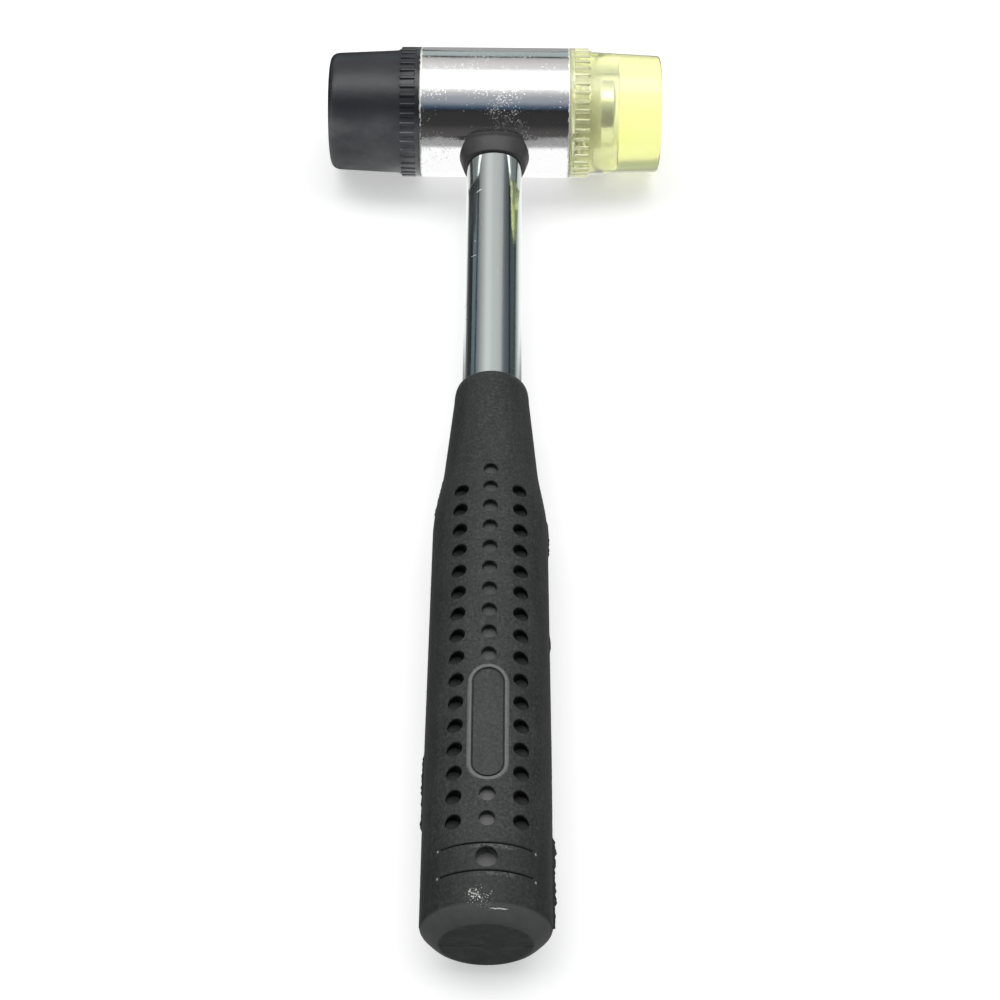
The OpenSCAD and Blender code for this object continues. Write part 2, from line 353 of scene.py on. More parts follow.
def bright_plating(name, tone, pits, scratches, bare=NOWHERE, marks=()):
    """Plated steel, bare and matt between two distances from the head's middle in millimetres."""
    f = finish_named(name)
    place = f.object_place()
    along = f.object_place(scale=(1, 0.02, 1), turn=(-LIE, 0, 0))
    aslant = f.object_place(scale=(0.06, 1, 1), turn=(0.5, 0.3, 0.7))
    side, _, _ = f.parts(place)
    patches = f.rise(f.cloud(f.object_place(scale=(-1, 1, 1)), 75, 3), 0.42, 0.62)
    shaken = f.ragged(place, 2600, 0.0007)
    large_pit = (1 - f.rise(f.cells(shaken, 800), 0.1, 0.22)) * f.rise(f.cloud(place, 260, 2), 0.56, 0.62)
    small_pit = (1 - f.rise(f.cells(shaken, 1500), 0.12, 0.32)) * f.rise(f.cloud(place, 420, 2), 0.4, 0.5)
    grit = (1 - f.rise(f.cells(shaken, 2900), 0.14, 0.34)) * f.rise(f.cloud(place, 340, 3), 0.48, 0.6)
    pit = (large_pit + small_pit * (0.3 + patches * 0.7) + grit * patches) * pits
    scratch = f.rise(f.cloud(along, 2600, 1), 0.72, 0.78) * scratches
    nick = f.rise(f.cloud(aslant, 900, 1), 0.74, 0.78) * patches * pits
    wander = (f.cloud(place, 1100, 3) - 0.5) * 0.0012
    bare_from = f.rise(abs(side) + wander, (bare[0] - 0.1) * MM, bare[0] * MM)
    nose = f.rise(abs(side), bare[1] * MM, (bare[1] + 0.3) * MM)
    bare_steel = bare_from * (1 - nose)
    out_by = f.from_head_line()
    shoulder = f.rise(out_by, (STUD_R + 0.6) * MM, (STUD_R + 1.0) * MM)
    shoulder = shoulder * (1 - f.rise(out_by, (HEAD_R - 0.6) * MM, (HEAD_R - 0.4) * MM)) * bare_steel
    turning = f.cloud(f.node("ShaderNodeCombineXYZ", None, {0: out_by}), 4000, 2) * shoulder
    mark = sum(short_mark(f, f.ragged(f.laid_place(), 2600, 0.0003), *given) for given in marks)
    colour = f.layered((*tone, 1), [
        (pit * 0.22, (0.35, 0.345, 0.34)),
        (mark, (0.9, 0.9, 0.9)),
        (bare_steel, (0.9, 0.9, 0.86)),
        (shoulder, (0.6, 0.6, 0.59)),
    ])
    smear = f.cloud(place, 90, 4)
    gloss = 0.04 + smear * 0.05 + patches * 0.03 + pit * 0.5 + nick * 0.3 + scratch * 0.25
    gloss = gloss + bare_steel * 0.6 - shoulder * 0.34 + turning * 0.16 + nose * 0.14 + mark * 0.5
    peel = f.cloud(place, 520, 3) * (0.05 + patches * 0.09) * pits
    waves = f.cloud(place, 130, 2) * 0.5 + f.cloud(place, 2400, 2) * (0.08 + patches * 0.1) + peel
    relief = waves - pit * 0.34 - nick * 0.12 - scratch * 0.03 + turning * 0.3
    return f.skin(Base_Color=colour, Metallic=1.0, Roughness=gloss, Normal=f.bump(relief, 0.00006))


head_bare = (SEAT + BARE_FROM, SEAT + NOSE_FROM)
head_plating = bright_plating("head_plating", (0.80, 0.805, 0.80), 1.0, 0.15, head_bare)
tube_plating = bright_plating("tube_plating", (0.565, 0.63, 0.615), 0.12, 0.8, marks=TUBE_MARKS)
print("two platings")

# %% [markdown]
# ## Rubbers
#
# Three black rubbers sit side by side, and they differ in gloss more than in colour: the striking face is
# smooth and satin with pale scuffs, the collar is dark and plain, and the grip is a matt grey with a fine
# grain from its mould. A rubber never looks like one flat black, so each has a slow mottle, a grain in
# its relief and a roughness that wanders. The striking face adds dust and painted floor light below,
# painted shade above, a rubbed rim and one curved scuff. The grip's rubber waits until the grip's outline is
# known.

# %% Rubber finish
def rubber_layers(f, tone, pale, gloss, grain, scuffs):
    """Colour, roughness and relief that the rubbers share."""
    place = f.object_place()
    mottle = f.cloud(place, 110, 4)
    fine = f.cloud(place, 2600, 3, 0.75)
    lumps = f.cloud(place, 420, 3)
    scuff = f.rise(f.cloud(f.object_place(scale=(1, 0.35, 1)), 330, 5, 0.7), 0.62, 0.76) * scuffs
    dust = f.rise(1 - f.cells(place, 900), 0.86, 0.95) * f.rise(f.cloud(place, 160, 2), 0.5, 0.65) * scuffs
    tint = f.mix(f.rise(mottle, 0.3, 0.7), (*tone, 1), (*pale, 1))
    speckle = f.rise(fine, 0.5, 0.72) * grain
    colour = f.mix(scuff * 0.35 + dust * 0.5 + speckle * 0.2, tint, (0.17, 0.175, 0.18, 1))
    rough = gloss + (mottle - 0.5) * 0.16 + (fine - 0.5) * 0.1 + scuff * 0.12
    relief = fine * grain + lumps * 0.5 - scuff * 0.15
    return colour, rough, relief


def moulded_rubber(name, tone, pale, gloss, grain, scuffs):
    """A plain rubber that has the shared layers and no more."""
    f = finish_named(name)
    colour, rough, relief = rubber_layers(f, tone, pale, gloss, grain, scuffs)
    return f.skin(Base_Color=colour, Roughness=rough, Specular_IOR_Level=0.3, Normal=f.bump(relief, 0.0001))


collar_rubber = moulded_rubber("collar_rubber", (0.050, 0.049, 0.051), (0.067, 0.064, 0.066),
                               0.48, 0.2, 0.4)
print("the collar's rubber")

# %% Rubber of the striking face
SCUFF_MIDDLE = (-37.0, -16.0, -4.0)
SCUFF_R = 4.2


def face_finish(name):
    """Black face rubber, paler below from dust and painted floor light, with painted shade above, a worn rim
    and one curved scuff.
    """
    f = finish_named(name)
    colour, rough, relief = rubber_layers(f, (0.100, 0.107, 0.119), (0.138, 0.145, 0.157), 0.36, 0.25, 0.8)
    place = f.laid_place()
    side, _, height = f.parts(place)
    cloudy = f.cloud(place, 190, 5, 0.65)
    smoky = f.cloud(f.object_place(scale=(0.5, 1, 1)), 150, 5, 0.65)
    # Paler towards the bottom: partly dust, partly painted light bounced up from the floor
    dust_and_floor_light = (1 - f.rise(height, -0.015, 0.004)) * (0.45 + f.rise(cloudy, 0.36, 0.66) * 0.55)
    # Painted shade: the face gets darker towards its top
    painted_shade_top = f.rise(height, 0.006, 0.013)
    ribbed = 1 - f.rise(0 - side, (SEAT + 4.4) * MM, (SEAT + 5.4) * MM)
    rim = f.rise(0 - side, (SEAT + FACE_LEN - 2.2) * MM, (SEAT + FACE_LEN - 0.6) * MM)
    arc = abs(f.distance(f.ragged(place, 500, 0.0012), SCUFF_MIDDLE) - SCUFF_R * MM)
    scuff = (1 - f.rise(arc, 0.0001, 0.0007)) * f.rise(f.cloud(place, 900, 3), 0.42, 0.58)
    scuff = scuff * f.rise(side, (SCUFF_MIDDLE[0] + 0.5) * MM, (SCUFF_MIDDLE[0] + 2) * MM)
    colour = f.layered(colour, [
        (f.rise(smoky, 0.42, 0.66) * 0.34 + rim * 0.12 + scuff * 0.6, (0.24, 0.242, 0.24)),
        # Dust and painted floor light below
        (dust_and_floor_light * 0.6, (0.36, 0.363, 0.35)),
        # Painted shade on top
        (painted_shade_top * 0.9, (0.008, 0.009, 0.013)),
    ])
    rough = rough + dust_and_floor_light * 0.1 - rim * 0.08 - ribbed * 0.16
    return f.skin(Base_Color=colour, Roughness=rough, Specular_IOR_Level=0.4, Normal=f.bump(relief, 0.0001))


face_rubber = face_finish("face_rubber")
print("the striking face's rubber")

# %% [markdown]
# ## Milky yellow plastic
#
# The other face is a pale yellow plastic that lets light through but is not clear: the plated stud inside
# shows as a soft grey shape. A full glass would be too clear and a plain diffuse plastic too dead. A
# surface that scatters some light at every crossing turns dull, because light crosses it many times on
# its way through. So the face has a milky skin where light comes in from outside, and it is clear from
# inside and in its socket, where the threads frost it a little. The dye is an absorption in the body, so
# thick plastic is deeper in colour than thin.

# %% Yellow plastic finish
PLASTIC_IOR = 1.49
SOCKET_SKIN = 0.7
SOCKET_END = SEAT + STUD_LEN + 4


def clear_plastic(name):
    """Yellow plastic with a milky skin, a clear core and a dye all through."""
    f = finish_named(name)
    place = f.object_place()
    cloudy = f.cloud(place, 70, 3)
    fine = f.cloud(place, 1800, 2)
    flow = f.cloud(f.object_place(scale=(1, 0.3, 0.3)), 160, 2)
    colour = f.mix(f.rise(cloudy, 0.3, 0.7), (0.96, 0.98, 0.52, 1), (0.97, 0.985, 0.6, 1))
    side, _, _ = f.parts(f.laid_place())
    skin_at = STUD_R + SOCKET_SKIN
    in_socket = 1 - f.rise(f.from_head_line(), skin_at * MM, (skin_at + 0.2) * MM)
    in_socket = in_socket * (1 - f.rise(side, SOCKET_END * MM, (SOCKET_END + 1) * MM))
    frosted = in_socket * (1 - f.rise(side, (SEAT + NOSE_FROM - 0.3) * MM, (SEAT + NOSE_FROM) * MM))
    rough = 0.08 + (cloudy - 0.5) * 0.06
    dye = f.node("ShaderNodeVolumeAbsorption", None, {"Color": (0.975, 0.995, 0.3, 1), "Density": 34.0})
    flow_marks = f.bump(fine * 0.25 + flow, 0.00003)
    skin = f.node("ShaderNodeBsdfPrincipled", None, {
        "Base Color": colour, "Roughness": rough, "IOR": PLASTIC_IOR,
        "Transmission Weight": 0.6, "Normal": flow_marks})
    core = f.node("ShaderNodeBsdfPrincipled", None, {
        "Base Color": (0.98, 0.99, 0.9, 1), "Roughness": 0.06 + frosted * 0.16, "IOR": PLASTIC_IOR,
        "Transmission Weight": 1.0, "Normal": flow_marks})
    from_inside = f.node("ShaderNodeNewGeometry", out="Backfacing")
    clear = 1 - (1 - from_inside) * (1 - in_socket)
    f.show(f.blend(clear, skin, core), dye)
    return f.owner


yellow_plastic = clear_plastic("yellow_plastic")
print("one plastic")

# %% [markdown]
# ## Turned steel
#
# The plug that closes the tube at the head's far side is bare steel faced on a lathe, so it shows rings
# about its own middle. A wave texture in rings would need its own centre; the plug lies on the handle's
# line, so the rings are drawn round that line with a Mapping node.

# %% Steel finish
def turned_steel(name):
    """Bare steel with the fine rings of a lathe and some stains."""
    f = finish_named(name)
    centred = f.object_place(scale=(1, 0, 1), shift=(0, 0, -HEAD_AT.z))
    rings = f.node("ShaderNodeTexWave", {"wave_type": "RINGS", "rings_direction": "SPHERICAL"},
                   {"Vector": centred, "Scale": 900.0, "Distortion": 0.6}, "Fac")
    stain = f.cloud(f.object_place(), 300, 4)
    colour = f.mix(f.rise(stain, 0.4, 0.75), (0.46, 0.46, 0.45, 1), (0.30, 0.28, 0.25, 1))
    rough = 0.24 + stain * 0.2 + rings * 0.06
    return f.skin(Base_Color=colour, Metallic=1.0, Roughness=rough, Normal=f.bump(rings, 0.00003))


plug_steel = turned_steel("plug_steel")
plug_node = frame["nodes"]["tube_plug"]
plug_node.data.materials.clear()
plug_node.data.materials.append(plug_steel)
print("the plug keeps its CAD shape and gets turned steel")

# %% [markdown]
# ## Tools for round pieces
#
# Nearly every piece of a hammer is round, so it is drawn as half an outline and spun, as on a lathe.
# Corners of an outline can be rounded before the spin, which is cleaner than a bevel afterwards. A last
# helper places the mesh, smooths it up to a given angle, and ties the piece to its CAD body.

# %% Outlines and spinning
def softened(points, steps=4):
    """Rounds each corner by its third number, the length that the curve takes of both its sides."""
    soft = []
    for i, (radius, along, cut) in enumerate(points):
        here = Vector((radius, along))
        if cut == 0:
            soft.append(here)
            continue
        start = here + (Vector(points[i - 1][:2]) - here).normalized() * cut
        end = here + (Vector(points[i + 1][:2]) - here).normalized() * cut
        for k in range(steps + 1):
            s = k / steps
            soft.append(start * (1 - s) ** 2 + here * 2 * s * (1 - s) + end * s ** 2)
    return soft


def lathe(bm, outline, segments):
    """Spins an outline of radius and distance right round the Z axis."""
    corners = [bm.verts.new((p[0], 0, p[1])) for p in outline]
    lines = [bm.edges.new(pair) for pair in zip(corners, corners[1:])]
    bmesh.ops.spin(bm, geom=corners + lines, cent=(0, 0, 0), axis=(0, 0, 1), dvec=(0, 0, 0),
                   angle=math.tau, steps=segments, use_merge=True)
    tidy(bm)


def tidy(bm):
    """Merges doubled points and then turns all faces outwards."""
    bmesh.ops.remove_doubles(bm, verts=bm.verts, dist=0.0005)
    bmesh.ops.recalc_face_normals(bm, faces=bm.faces)


def half_turn(bm, axis):
    """Turns a bmesh half round about one axis, and gives it back."""
    bmesh.ops.rotate(bm, verts=bm.verts, cent=(0, 0, 0), matrix=Matrix.Rotation(math.pi, 3, axis))
    return bm


def break_edges(bm, edges, offset, segments):
    """Bevels sharp edges into round ones."""
    bmesh.ops.bevel(bm, geom=edges, offset=offset, segments=segments, profile=0.5,
                    affect="EDGES", material=-1)


print("outlines can be softened and spun")

# %% From a bmesh to a piece
def mesh_of(bm, name):
    """Turns a bmesh into a mesh and frees it."""
    mesh = bpy.data.meshes.new(name)
    bm.to_mesh(mesh)
    bm.free()
    return mesh


def piece_of(bm, name, finish, body, node=None, place=None, sharp=35):
    """Puts a bmesh in place as a visible piece that rides on a body and may replace a CAD node."""
    if place is not None:
        bmesh.ops.transform(bm, matrix=place, verts=bm.verts)
    mesh = mesh_of(bm, name)
    mesh.shade_smooth()
    mesh.set_sharp_from_angle(angle=math.radians(sharp))
    mesh.materials.append(finish)
    piece = bpy.data.objects.new(name, mesh)
    scene.collection.objects.link(piece)
    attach(piece, body)
    if node:
        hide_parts(node)
    print(f"{name}: {len(mesh.polygons)} faces")
    return piece


print("a bmesh can become a piece")

# %% Cutting one mesh with another
def carved(bm, tool, operation):
    """Joins two bmeshes with a Boolean modifier and gives back one bmesh."""
    objects = []
    for part in (bm, tool):
        part_object = bpy.data.objects.new("carving", mesh_of(part, "carving"))
        scene.collection.objects.link(part_object)
        objects.append(part_object)
    modifier = objects[0].modifiers.new("carve", "BOOLEAN")
    modifier.operation = operation
    modifier.solver = "EXACT"
    modifier.object = objects[1]
    ready = objects[0].evaluated_get(bpy.context.evaluated_depsgraph_get())
    result = bmesh.new()
    result.from_mesh(ready.to_mesh())
    ready.to_mesh_clear()
    for part_object in objects:
        bpy.data.meshes.remove(part_object.data)
    return result


print("one mesh can be carved with another")

# %% [markdown]
# ## Threads
#
# The CAD model keeps its studs and sockets plain, because a thread costs thousands of faces there. Here a
# thread is a cheap change to a spun wall: the wall gets eight rings for each turn of the thread, and
# every point moves in or out by how far round and how far along it is. The stud and its socket use the
# same rule, half a turn apart, so their teeth mesh as the real ones do.

# %% Thread rule
PITCH = 1.5
TOOTH = 0.92
THREAD_FROM = 1.0
STUD_THREAD_TO = 7.4
SOCKET_THREAD_TO = 5.4
RINGS_PER_TURN = 8


def thread_rings(end):
    """Distances from the seat of the rings that a thread needs."""
    count = round((end - THREAD_FROM) / PITCH * RINGS_PER_TURN)
    return [THREAD_FROM + (end - THREAD_FROM) * k / count for k in range(count + 1)]


def tooth_height(point, shift):
    """How much of a tooth stands at this point, 0 at the root and 1 on the crest."""
    turn = (point.z / PITCH - math.atan2(point.y, point.x) / math.tau + shift) % 1.0
    return min(1.0, max(0.0, 1.2 - abs(turn - 0.5) * 3.0))


def cut_thread(bm, root_r, end, tooth, shift):
    """Moves the points of a wall at root_r by up to one tooth, fading at both ends of the thread."""
    for v in bm.verts:
        radius = math.hypot(v.co.x, v.co.y)
        along = abs(v.co.z) - SEAT
        if abs(radius - root_r) > 0.01 or not THREAD_FROM - 0.01 < along < end + 0.01:
            continue
        fade = min(1.0, (along - THREAD_FROM) / PITCH * 2, (end - along) / PITCH * 2)
        grown = radius + tooth * max(0.0, fade) * tooth_height(v.co, shift)
        v.co.x *= grown / radius
        v.co.y *= grown / radius


print(f"thread of {2 * STUD_R:.0f} mm with a pitch of {PITCH} mm")

# %% [markdown]
# ## Head
#
# On the real hammer the head is turned from one bar: a barrel with a broken edge at each end, and a stud
# past it with a relief, a thread and a plain nose. It is spun in one go from nose to nose, and the cross
# bore for the tube is carved out of it with a Boolean. Two extra rings near each rim keep the soft edge
# from bending the mirror along the whole barrel.

# %% Head with its studs and cross bore
RIM = 0.5
RIM_ROUND = 0.2
RINGS_FROM_SEAT = [2.4, 1.0]
RELIEF_LEN = 0.7
NOSE_STEP = 0.3
NOSE_ROUND = 1.2
BARREL_R = HEAD_R - 0.04
ROOT_R = STUD_R - TOOTH
RELIEF_R = STUD_R - 1.2
NOSE_R = STUD_R - 1.0
BORE_R = TUBE_R + 0.05
TIP = SEAT + STUD_LEN

half_head = softened([(BARREL_R, SEAT - gap, 0) for gap in RINGS_FROM_SEAT] + [
    (BARREL_R, SEAT - RIM, RIM_ROUND),
    (BARREL_R - RIM, SEAT, RIM_ROUND),
    (RELIEF_R, SEAT, 0),
    (RELIEF_R, SEAT + RELIEF_LEN, 0),
])
half_head += [Vector((ROOT_R, SEAT + z)) for z in thread_rings(STUD_THREAD_TO)]
half_head += softened([
    (ROOT_R, SEAT + NOSE_FROM, 0),
    (NOSE_R, SEAT + NOSE_FROM + NOSE_STEP, 0),
    (NOSE_R, TIP, NOSE_ROUND),
    (0, TIP, 0),
], 6)
other_half = [Vector((p.x, -p.y)) for p in reversed(half_head)]

head_bm = bmesh.new()
lathe(head_bm, other_half + half_head, 160)
cut_thread(head_bm, ROOT_R, STUD_THREAD_TO, TOOTH, 0.0)
bmesh.ops.transform(head_bm, matrix=ALONG_HEAD, verts=head_bm.verts)
bore_bm = bmesh.new()
bmesh.ops.create_cone(bore_bm, cap_ends=True, segments=128, radius1=BORE_R, radius2=BORE_R,
                      depth=3 * HEAD_R)
bmesh.ops.transform(bore_bm, matrix=ALONG_HANDLE, verts=bore_bm.verts)
head_bm = carved(head_bm, bore_bm, "DIFFERENCE")
piece_of(head_bm, "plated_head", head_plating, "hammer", "head_body", sharp=30)

# %% [markdown]
# ## Striking faces
#
# Both faces are the same moulding in two materials: a tapered cup with a socket, a plain flange at the
# seat, and short raised ribs to turn it by. The cup is spun with four meridians for each rib. They are
# then turned to the rib's two edges, its middle and the middle of the gap, which makes rib and gap
# unequal, and the faces of the flange and the ribs are extruded together, so that the raised part is one
# skin with the cup. That matters for the yellow face, where a loose rib would show its hidden sides
# through the plastic. The rib's outer corners are beveled right round, and the top edges broken.

# %% Shape of a face
RIBS = 42
RIB_W = 1.3
RING_W = 4.9
FLANGE_W = 1.1
ROOT_FACE_R = HEAD_R - 0.7
DRAW = 1.2
GAP_R = HEAD_R - 0.34
SOCKET_R = STUD_R + 0.3
SOCKET_ROOM = 1
SOCKET_ROUND = 0.5
LEAD_IN = 0.8
THREAD_RUN_OUT = 0.2
GAP_DRAW = 0.15
RIB_RUN_OUT = 1
RIB_TOP_SHARE = 0.68
RIB_END_ROUND = 0.5
RIB_TOP_ROUND = 0.28
RUBBER_EDGE = 2.6
PLASTIC_EDGE = 1.0
PERIOD = math.tau / RIBS
RIB_SHARE = RIB_W / HEAD_R / PERIOD


def wall_r(along):
    """Radius of the tapered cup at a distance from its seat."""
    return ROOT_FACE_R - DRAW * along / FACE_LEN


def face_outline(edge):
    """Half outline of a face, from the socket's floor round its mouth to the middle of the striking end."""
    deep = STUD_LEN + SOCKET_ROOM
    floor = softened([
        (0, SEAT + deep, 0),
        (SOCKET_R, SEAT + deep, SOCKET_ROUND),
        (SOCKET_R, SEAT + SOCKET_THREAD_TO + THREAD_RUN_OUT, 0),
    ], 6)
    thread = [Vector((SOCKET_R, SEAT + z)) for z in reversed(thread_rings(SOCKET_THREAD_TO))]
    past_ribs = RING_W + RIB_RUN_OUT
    cup = softened([
        (SOCKET_R + LEAD_IN, SEAT, 0),
        (GAP_R, SEAT, 0),
        (GAP_R, SEAT + FLANGE_W, 0),
        (GAP_R - GAP_DRAW, SEAT + RING_W, 0),
        (wall_r(past_ribs), SEAT + past_ribs, 0),
        (wall_r(FACE_LEN / 2), SEAT + FACE_LEN / 2, 0),
        (wall_r(FACE_LEN), SEAT + FACE_LEN, edge),
        (HEAD_R / 2, SEAT + FACE_LEN, 0),
        (0, SEAT + FACE_LEN, 0),
    ], 7)
    return floor + thread + cup


print(f"cup of {FACE_LEN:.1f} mm with {RIBS} ribs")

# %% Raise the flange and the ribs
def turn_of(co):
    """Which rib a point belongs to, and how far through its period it is."""
    return divmod(math.atan2(co.y, co.x) / PERIOD + 0.001, 1.0)


def set_turn(v, rib, share):
    """Turns a point to a share of the period of a rib."""
    radius = math.hypot(v.co.x, v.co.y)
    angle = (rib + share) * PERIOD
    v.co.x = radius * math.cos(angle)
    v.co.y = radius * math.sin(angle)


def raise_ribs(bm):
    """Raises the flange and the ribs out of the spun cup."""
    meridians = [0, RIB_SHARE / 2, RIB_SHARE, (1 + RIB_SHARE) / 2]
    for v in bm.verts:
        rib, share = turn_of(v.co)
        set_turn(v, rib, meridians[int(share * 4)])
    raised = []
    for face in bm.faces:
        middle = face.calc_center_median()
        along = middle.z - SEAT
        outside = math.hypot(middle.x, middle.y) > ROOT_FACE_R - 1
        on_rib = turn_of(middle)[1] < RIB_SHARE
        if outside and (0.1 < along < FLANGE_W or (on_rib and FLANGE_W < along < RING_W)):
            raised.append(face)
    grown = bmesh.ops.extrude_face_region(bm, geom=raised)["geom"]
    for v in [g for g in grown if isinstance(g, bmesh.types.BMVert)]:
        radius = math.hypot(v.co.x, v.co.y)
        v.co.x *= HEAD_R / radius
        v.co.y *= HEAD_R / radius
        rib, share = turn_of(v.co)
        if v.co.z - SEAT > FLANGE_W - 0.1 and share < RIB_SHARE + 0.01:
            set_turn(v, rib, RIB_SHARE / 2 + (share - 0.001 - RIB_SHARE / 2) * RIB_TOP_SHARE)
    round_rib_ends(bm)


def round_rib_ends(bm):
    """Rounds the far corners of each rib and breaks the top edges."""
    def radius(v):
        return math.hypot(v.co.x, v.co.y)

    def level(v):
        return abs(v.co.z - SEAT - RING_W) < 0.05

    corners = [e for e in bm.edges if level(e.verts[0]) and level(e.verts[1])
               and abs(radius(e.verts[0]) - radius(e.verts[1])) > 0.3 and e.calc_face_angle(0) > 0.6]
    break_edges(bm, corners, RIB_END_ROUND, 4)
    tops = [e for e in bm.edges if min(radius(v) for v in e.verts) > HEAD_R - 0.05
            and e.calc_face_angle(0) > math.radians(45)]
    break_edges(bm, tops, RIB_TOP_ROUND, 4)


print("ribs can be raised")

# %% The two faces
def striking_face(name, end, edge, finish, body):
    """A face at the left or right end, which replaces the CAD node that has its body's name."""
    bm = bmesh.new()
    lathe(bm, face_outline(edge), RIBS * 4)
    raise_ribs(bm)
    if end < 0:
        half_turn(bm, "Y")
    cut_thread(bm, SOCKET_R, SOCKET_THREAD_TO, -TOOTH, 0.5)
    return piece_of(bm, name, finish, body, body, ALONG_HEAD, 40)


striking_face("rubber_striking_face", -1, RUBBER_EDGE, face_rubber, "rubber_face")
striking_face("plastic_striking_face", 1, PLASTIC_EDGE, yellow_plastic, "plastic_face")

# %% [markdown]
# ## Flash at the seats
#
# Where each face meets the head, the moulding has left a ragged skin of rubber or plastic, which lies in
# the head's broken edge. It is a spun strip whose free edge wanders by a fixed noise, so it comes out the
# same each run.

# %% Ragged flash
# How often each noise comes round, and how much it adds
FLASH_NOISE = [(0.55, 0.4), (1.7, 0.4), (4, 0.3)]
FLASH_REACH = 1.1


def seat_flash(name, end, finish, body):
    """A thin strip round the seat whose free edge wanders along the head."""
    bm = bmesh.new()
    tip = SEAT - 0.06
    foot = (HEAD_R - 0.25, SEAT + 0.3)
    outside_r = HEAD_R - 0.003
    inside_r = BARREL_R + 0.01
    outline = [foot, (outside_r, SEAT + 0.2), (outside_r, SEAT), (HEAD_R - 0.01, tip),
               (inside_r, tip), (inside_r, SEAT), foot]
    lathe(bm, outline, 360)
    for v in bm.verts:
        if v.co.z > SEAT - 0.03:
            continue
        round_at = Vector((v.co.x, v.co.y, 40.0 * end))
        patch = max(0.0, noise.noise(round_at * 0.11) + 0.25)
        ragged = sum(noise.noise(round_at * often) * share for often, share in FLASH_NOISE)
        v.co.z -= min(FLASH_REACH, max(0.0, ragged + 0.25) * (0.4 + 1.4 * patch))
    if end < 0:
        half_turn(bm, "Y")
    return piece_of(bm, name, finish, body, None, ALONG_HEAD, 50)


seat_flash("rubber_face_flash", -1, face_rubber, "rubber_face")
seat_flash("plastic_face_flash", 1, yellow_plastic, "plastic_face")

# %% [markdown]
# ## Tube
#
# A plain length of plated tube: it starts inside the head's cross bore, where its end is seen from the
# far side, and runs down inside the grip. A spun wall with a softened rim is all it needs, because its
# looks come from the plating.

# %% Tube
TUBE_WALL = 1.5
TUBE_ROUND = 0.3
TUBE_RING = 1
TUBE_TOP = -math.sqrt(HEAD_R ** 2 - TUBE_R ** 2)
BUTT_WALL = 8
TUBE_END = HANDLE_LEN - BUTT_WALL

tube_bm = bmesh.new()
tube_outline = softened([
    (TUBE_R - TUBE_WALL, TUBE_END, 0),
    (TUBE_R - TUBE_WALL, TUBE_TOP, TUBE_ROUND),
    (TUBE_R, TUBE_TOP, TUBE_ROUND),
    (TUBE_R, TUBE_TOP + TUBE_RING, 0),
    (TUBE_R, TUBE_END, 0),
    (TUBE_R - TUBE_WALL, TUBE_END, 0),
])
lathe(tube_bm, tube_outline, 128)
piece_of(tube_bm, "plated_tube", tube_plating, "hammer", "handle_tube", ALONG_HANDLE)

# %% [markdown]
# ## Collar
#
# The rubber collar fills the corner between head and tube. Its upper edge lies on the round head and its
# lower edge runs parallel to it, so a plain spun cone has the wrong ends. The cone is spun with its
# distance measured from the head's axis, and then each point is moved along the handle to where that
# distance really is.

# %% Collar
COLLAR_H = 5.1
COLLAR_LIP = 0.6
COLLAR_FOOT = 0.5
FOOT_TO = HEAD_R + 0.8
CONE_RING = HEAD_R + 2.4
COLLAR_SLOPE = math.tan(math.radians(15.6))
LIP_AT = HEAD_R + COLLAR_H
PRESSED = 0.02


def cone_r(along):
    """Radius of the cone at a distance from the head's axis."""
    return TUBE_R + COLLAR_LIP + (LIP_AT - along) * COLLAR_SLOPE


collar_bm = bmesh.new()
collar_outline = softened([
    (TUBE_R + PRESSED, HEAD_R + PRESSED, 0),
    (cone_r(HEAD_R) + COLLAR_FOOT, HEAD_R + PRESSED, 0.25),
    (cone_r(FOOT_TO), FOOT_TO, 0.3),
    (cone_r(CONE_RING), CONE_RING, 0),
    (cone_r(LIP_AT), LIP_AT, 0.4),
    (TUBE_R + PRESSED, LIP_AT, 0),
    (TUBE_R + PRESSED, HEAD_R + PRESSED, 0),
])
lathe(collar_bm, collar_outline, 96)
for v in collar_bm.verts:
    reach = v.co.z
    spun = Vector((v.co.x, v.co.y))
    widened = spun
    for _ in range(4):
        along = math.sqrt(reach ** 2 - widened.x ** 2)
        share = (widened.length - TUBE_R) / max(0.01, cone_r(reach) - TUBE_R)
        grown = (reach - along) * COLLAR_SLOPE * min(1.0, max(0.0, share))
        widened = spun.normalized() * (spun.length + grown)
    v.co = Vector((widened.x, widened.y, math.sqrt(reach ** 2 - widened.x ** 2)))
piece_of(collar_bm, "corner_collar", collar_rubber, "hammer", "collar", ALONG_HANDLE)

# %% [markdown]
# ## Grip
#
# The grip is one rubber moulding: a rounded lip, a neck, a shoulder and a long body with a chamfered
# butt. Its outline is the same sum as in the CAD source, with softer corners. It is spun first, and
# everything sunk into it is carved afterwards.

# %% Grip outline
GRIP_LEN = 147
LIP_LEN = 4
NECK_LEN = 21.5
SHOULDER_LEN = 18
SWELL_LEN = 60
SWELL = 0.45
CHAMFER = 3.4
CHAMFER_ROUND = 0.9
BUTT_ROUND = 2.0
BUTT_RING = 8
MOUTH_AT = HANDLE_LEN - GRIP_LEN
NECK_AT = MOUTH_AT + LIP_LEN
SHOULDER_AT = NECK_AT + NECK_LEN
BODY_AT = SHOULDER_AT + SHOULDER_LEN
MOUTH_WALL = 0.9
NECK_WALL = 1.85
MOUTH_R = TUBE_R + MOUTH_WALL
NECK_R = TUBE_R + NECK_WALL
NECK_SLOPE = math.tan(math.radians(5.2))
SHOULDER_R = GRIP_R - SWELL


def shoulder_r(s):
    """Radius along the shoulder, which leaves the neck and meets the body without a kink."""
    start = NECK_R + NECK_LEN * NECK_SLOPE
    leave = SHOULDER_LEN * NECK_SLOPE
    arrive = SHOULDER_LEN * SWELL / SWELL_LEN
    body = SHOULDER_R * (3 - 2 * s) * s ** 2 - arrive * s ** 2 * (1 - s)
    return start * (1 + 2 * s) * (1 - s) ** 2 + leave * s * (1 - s) ** 2 + body


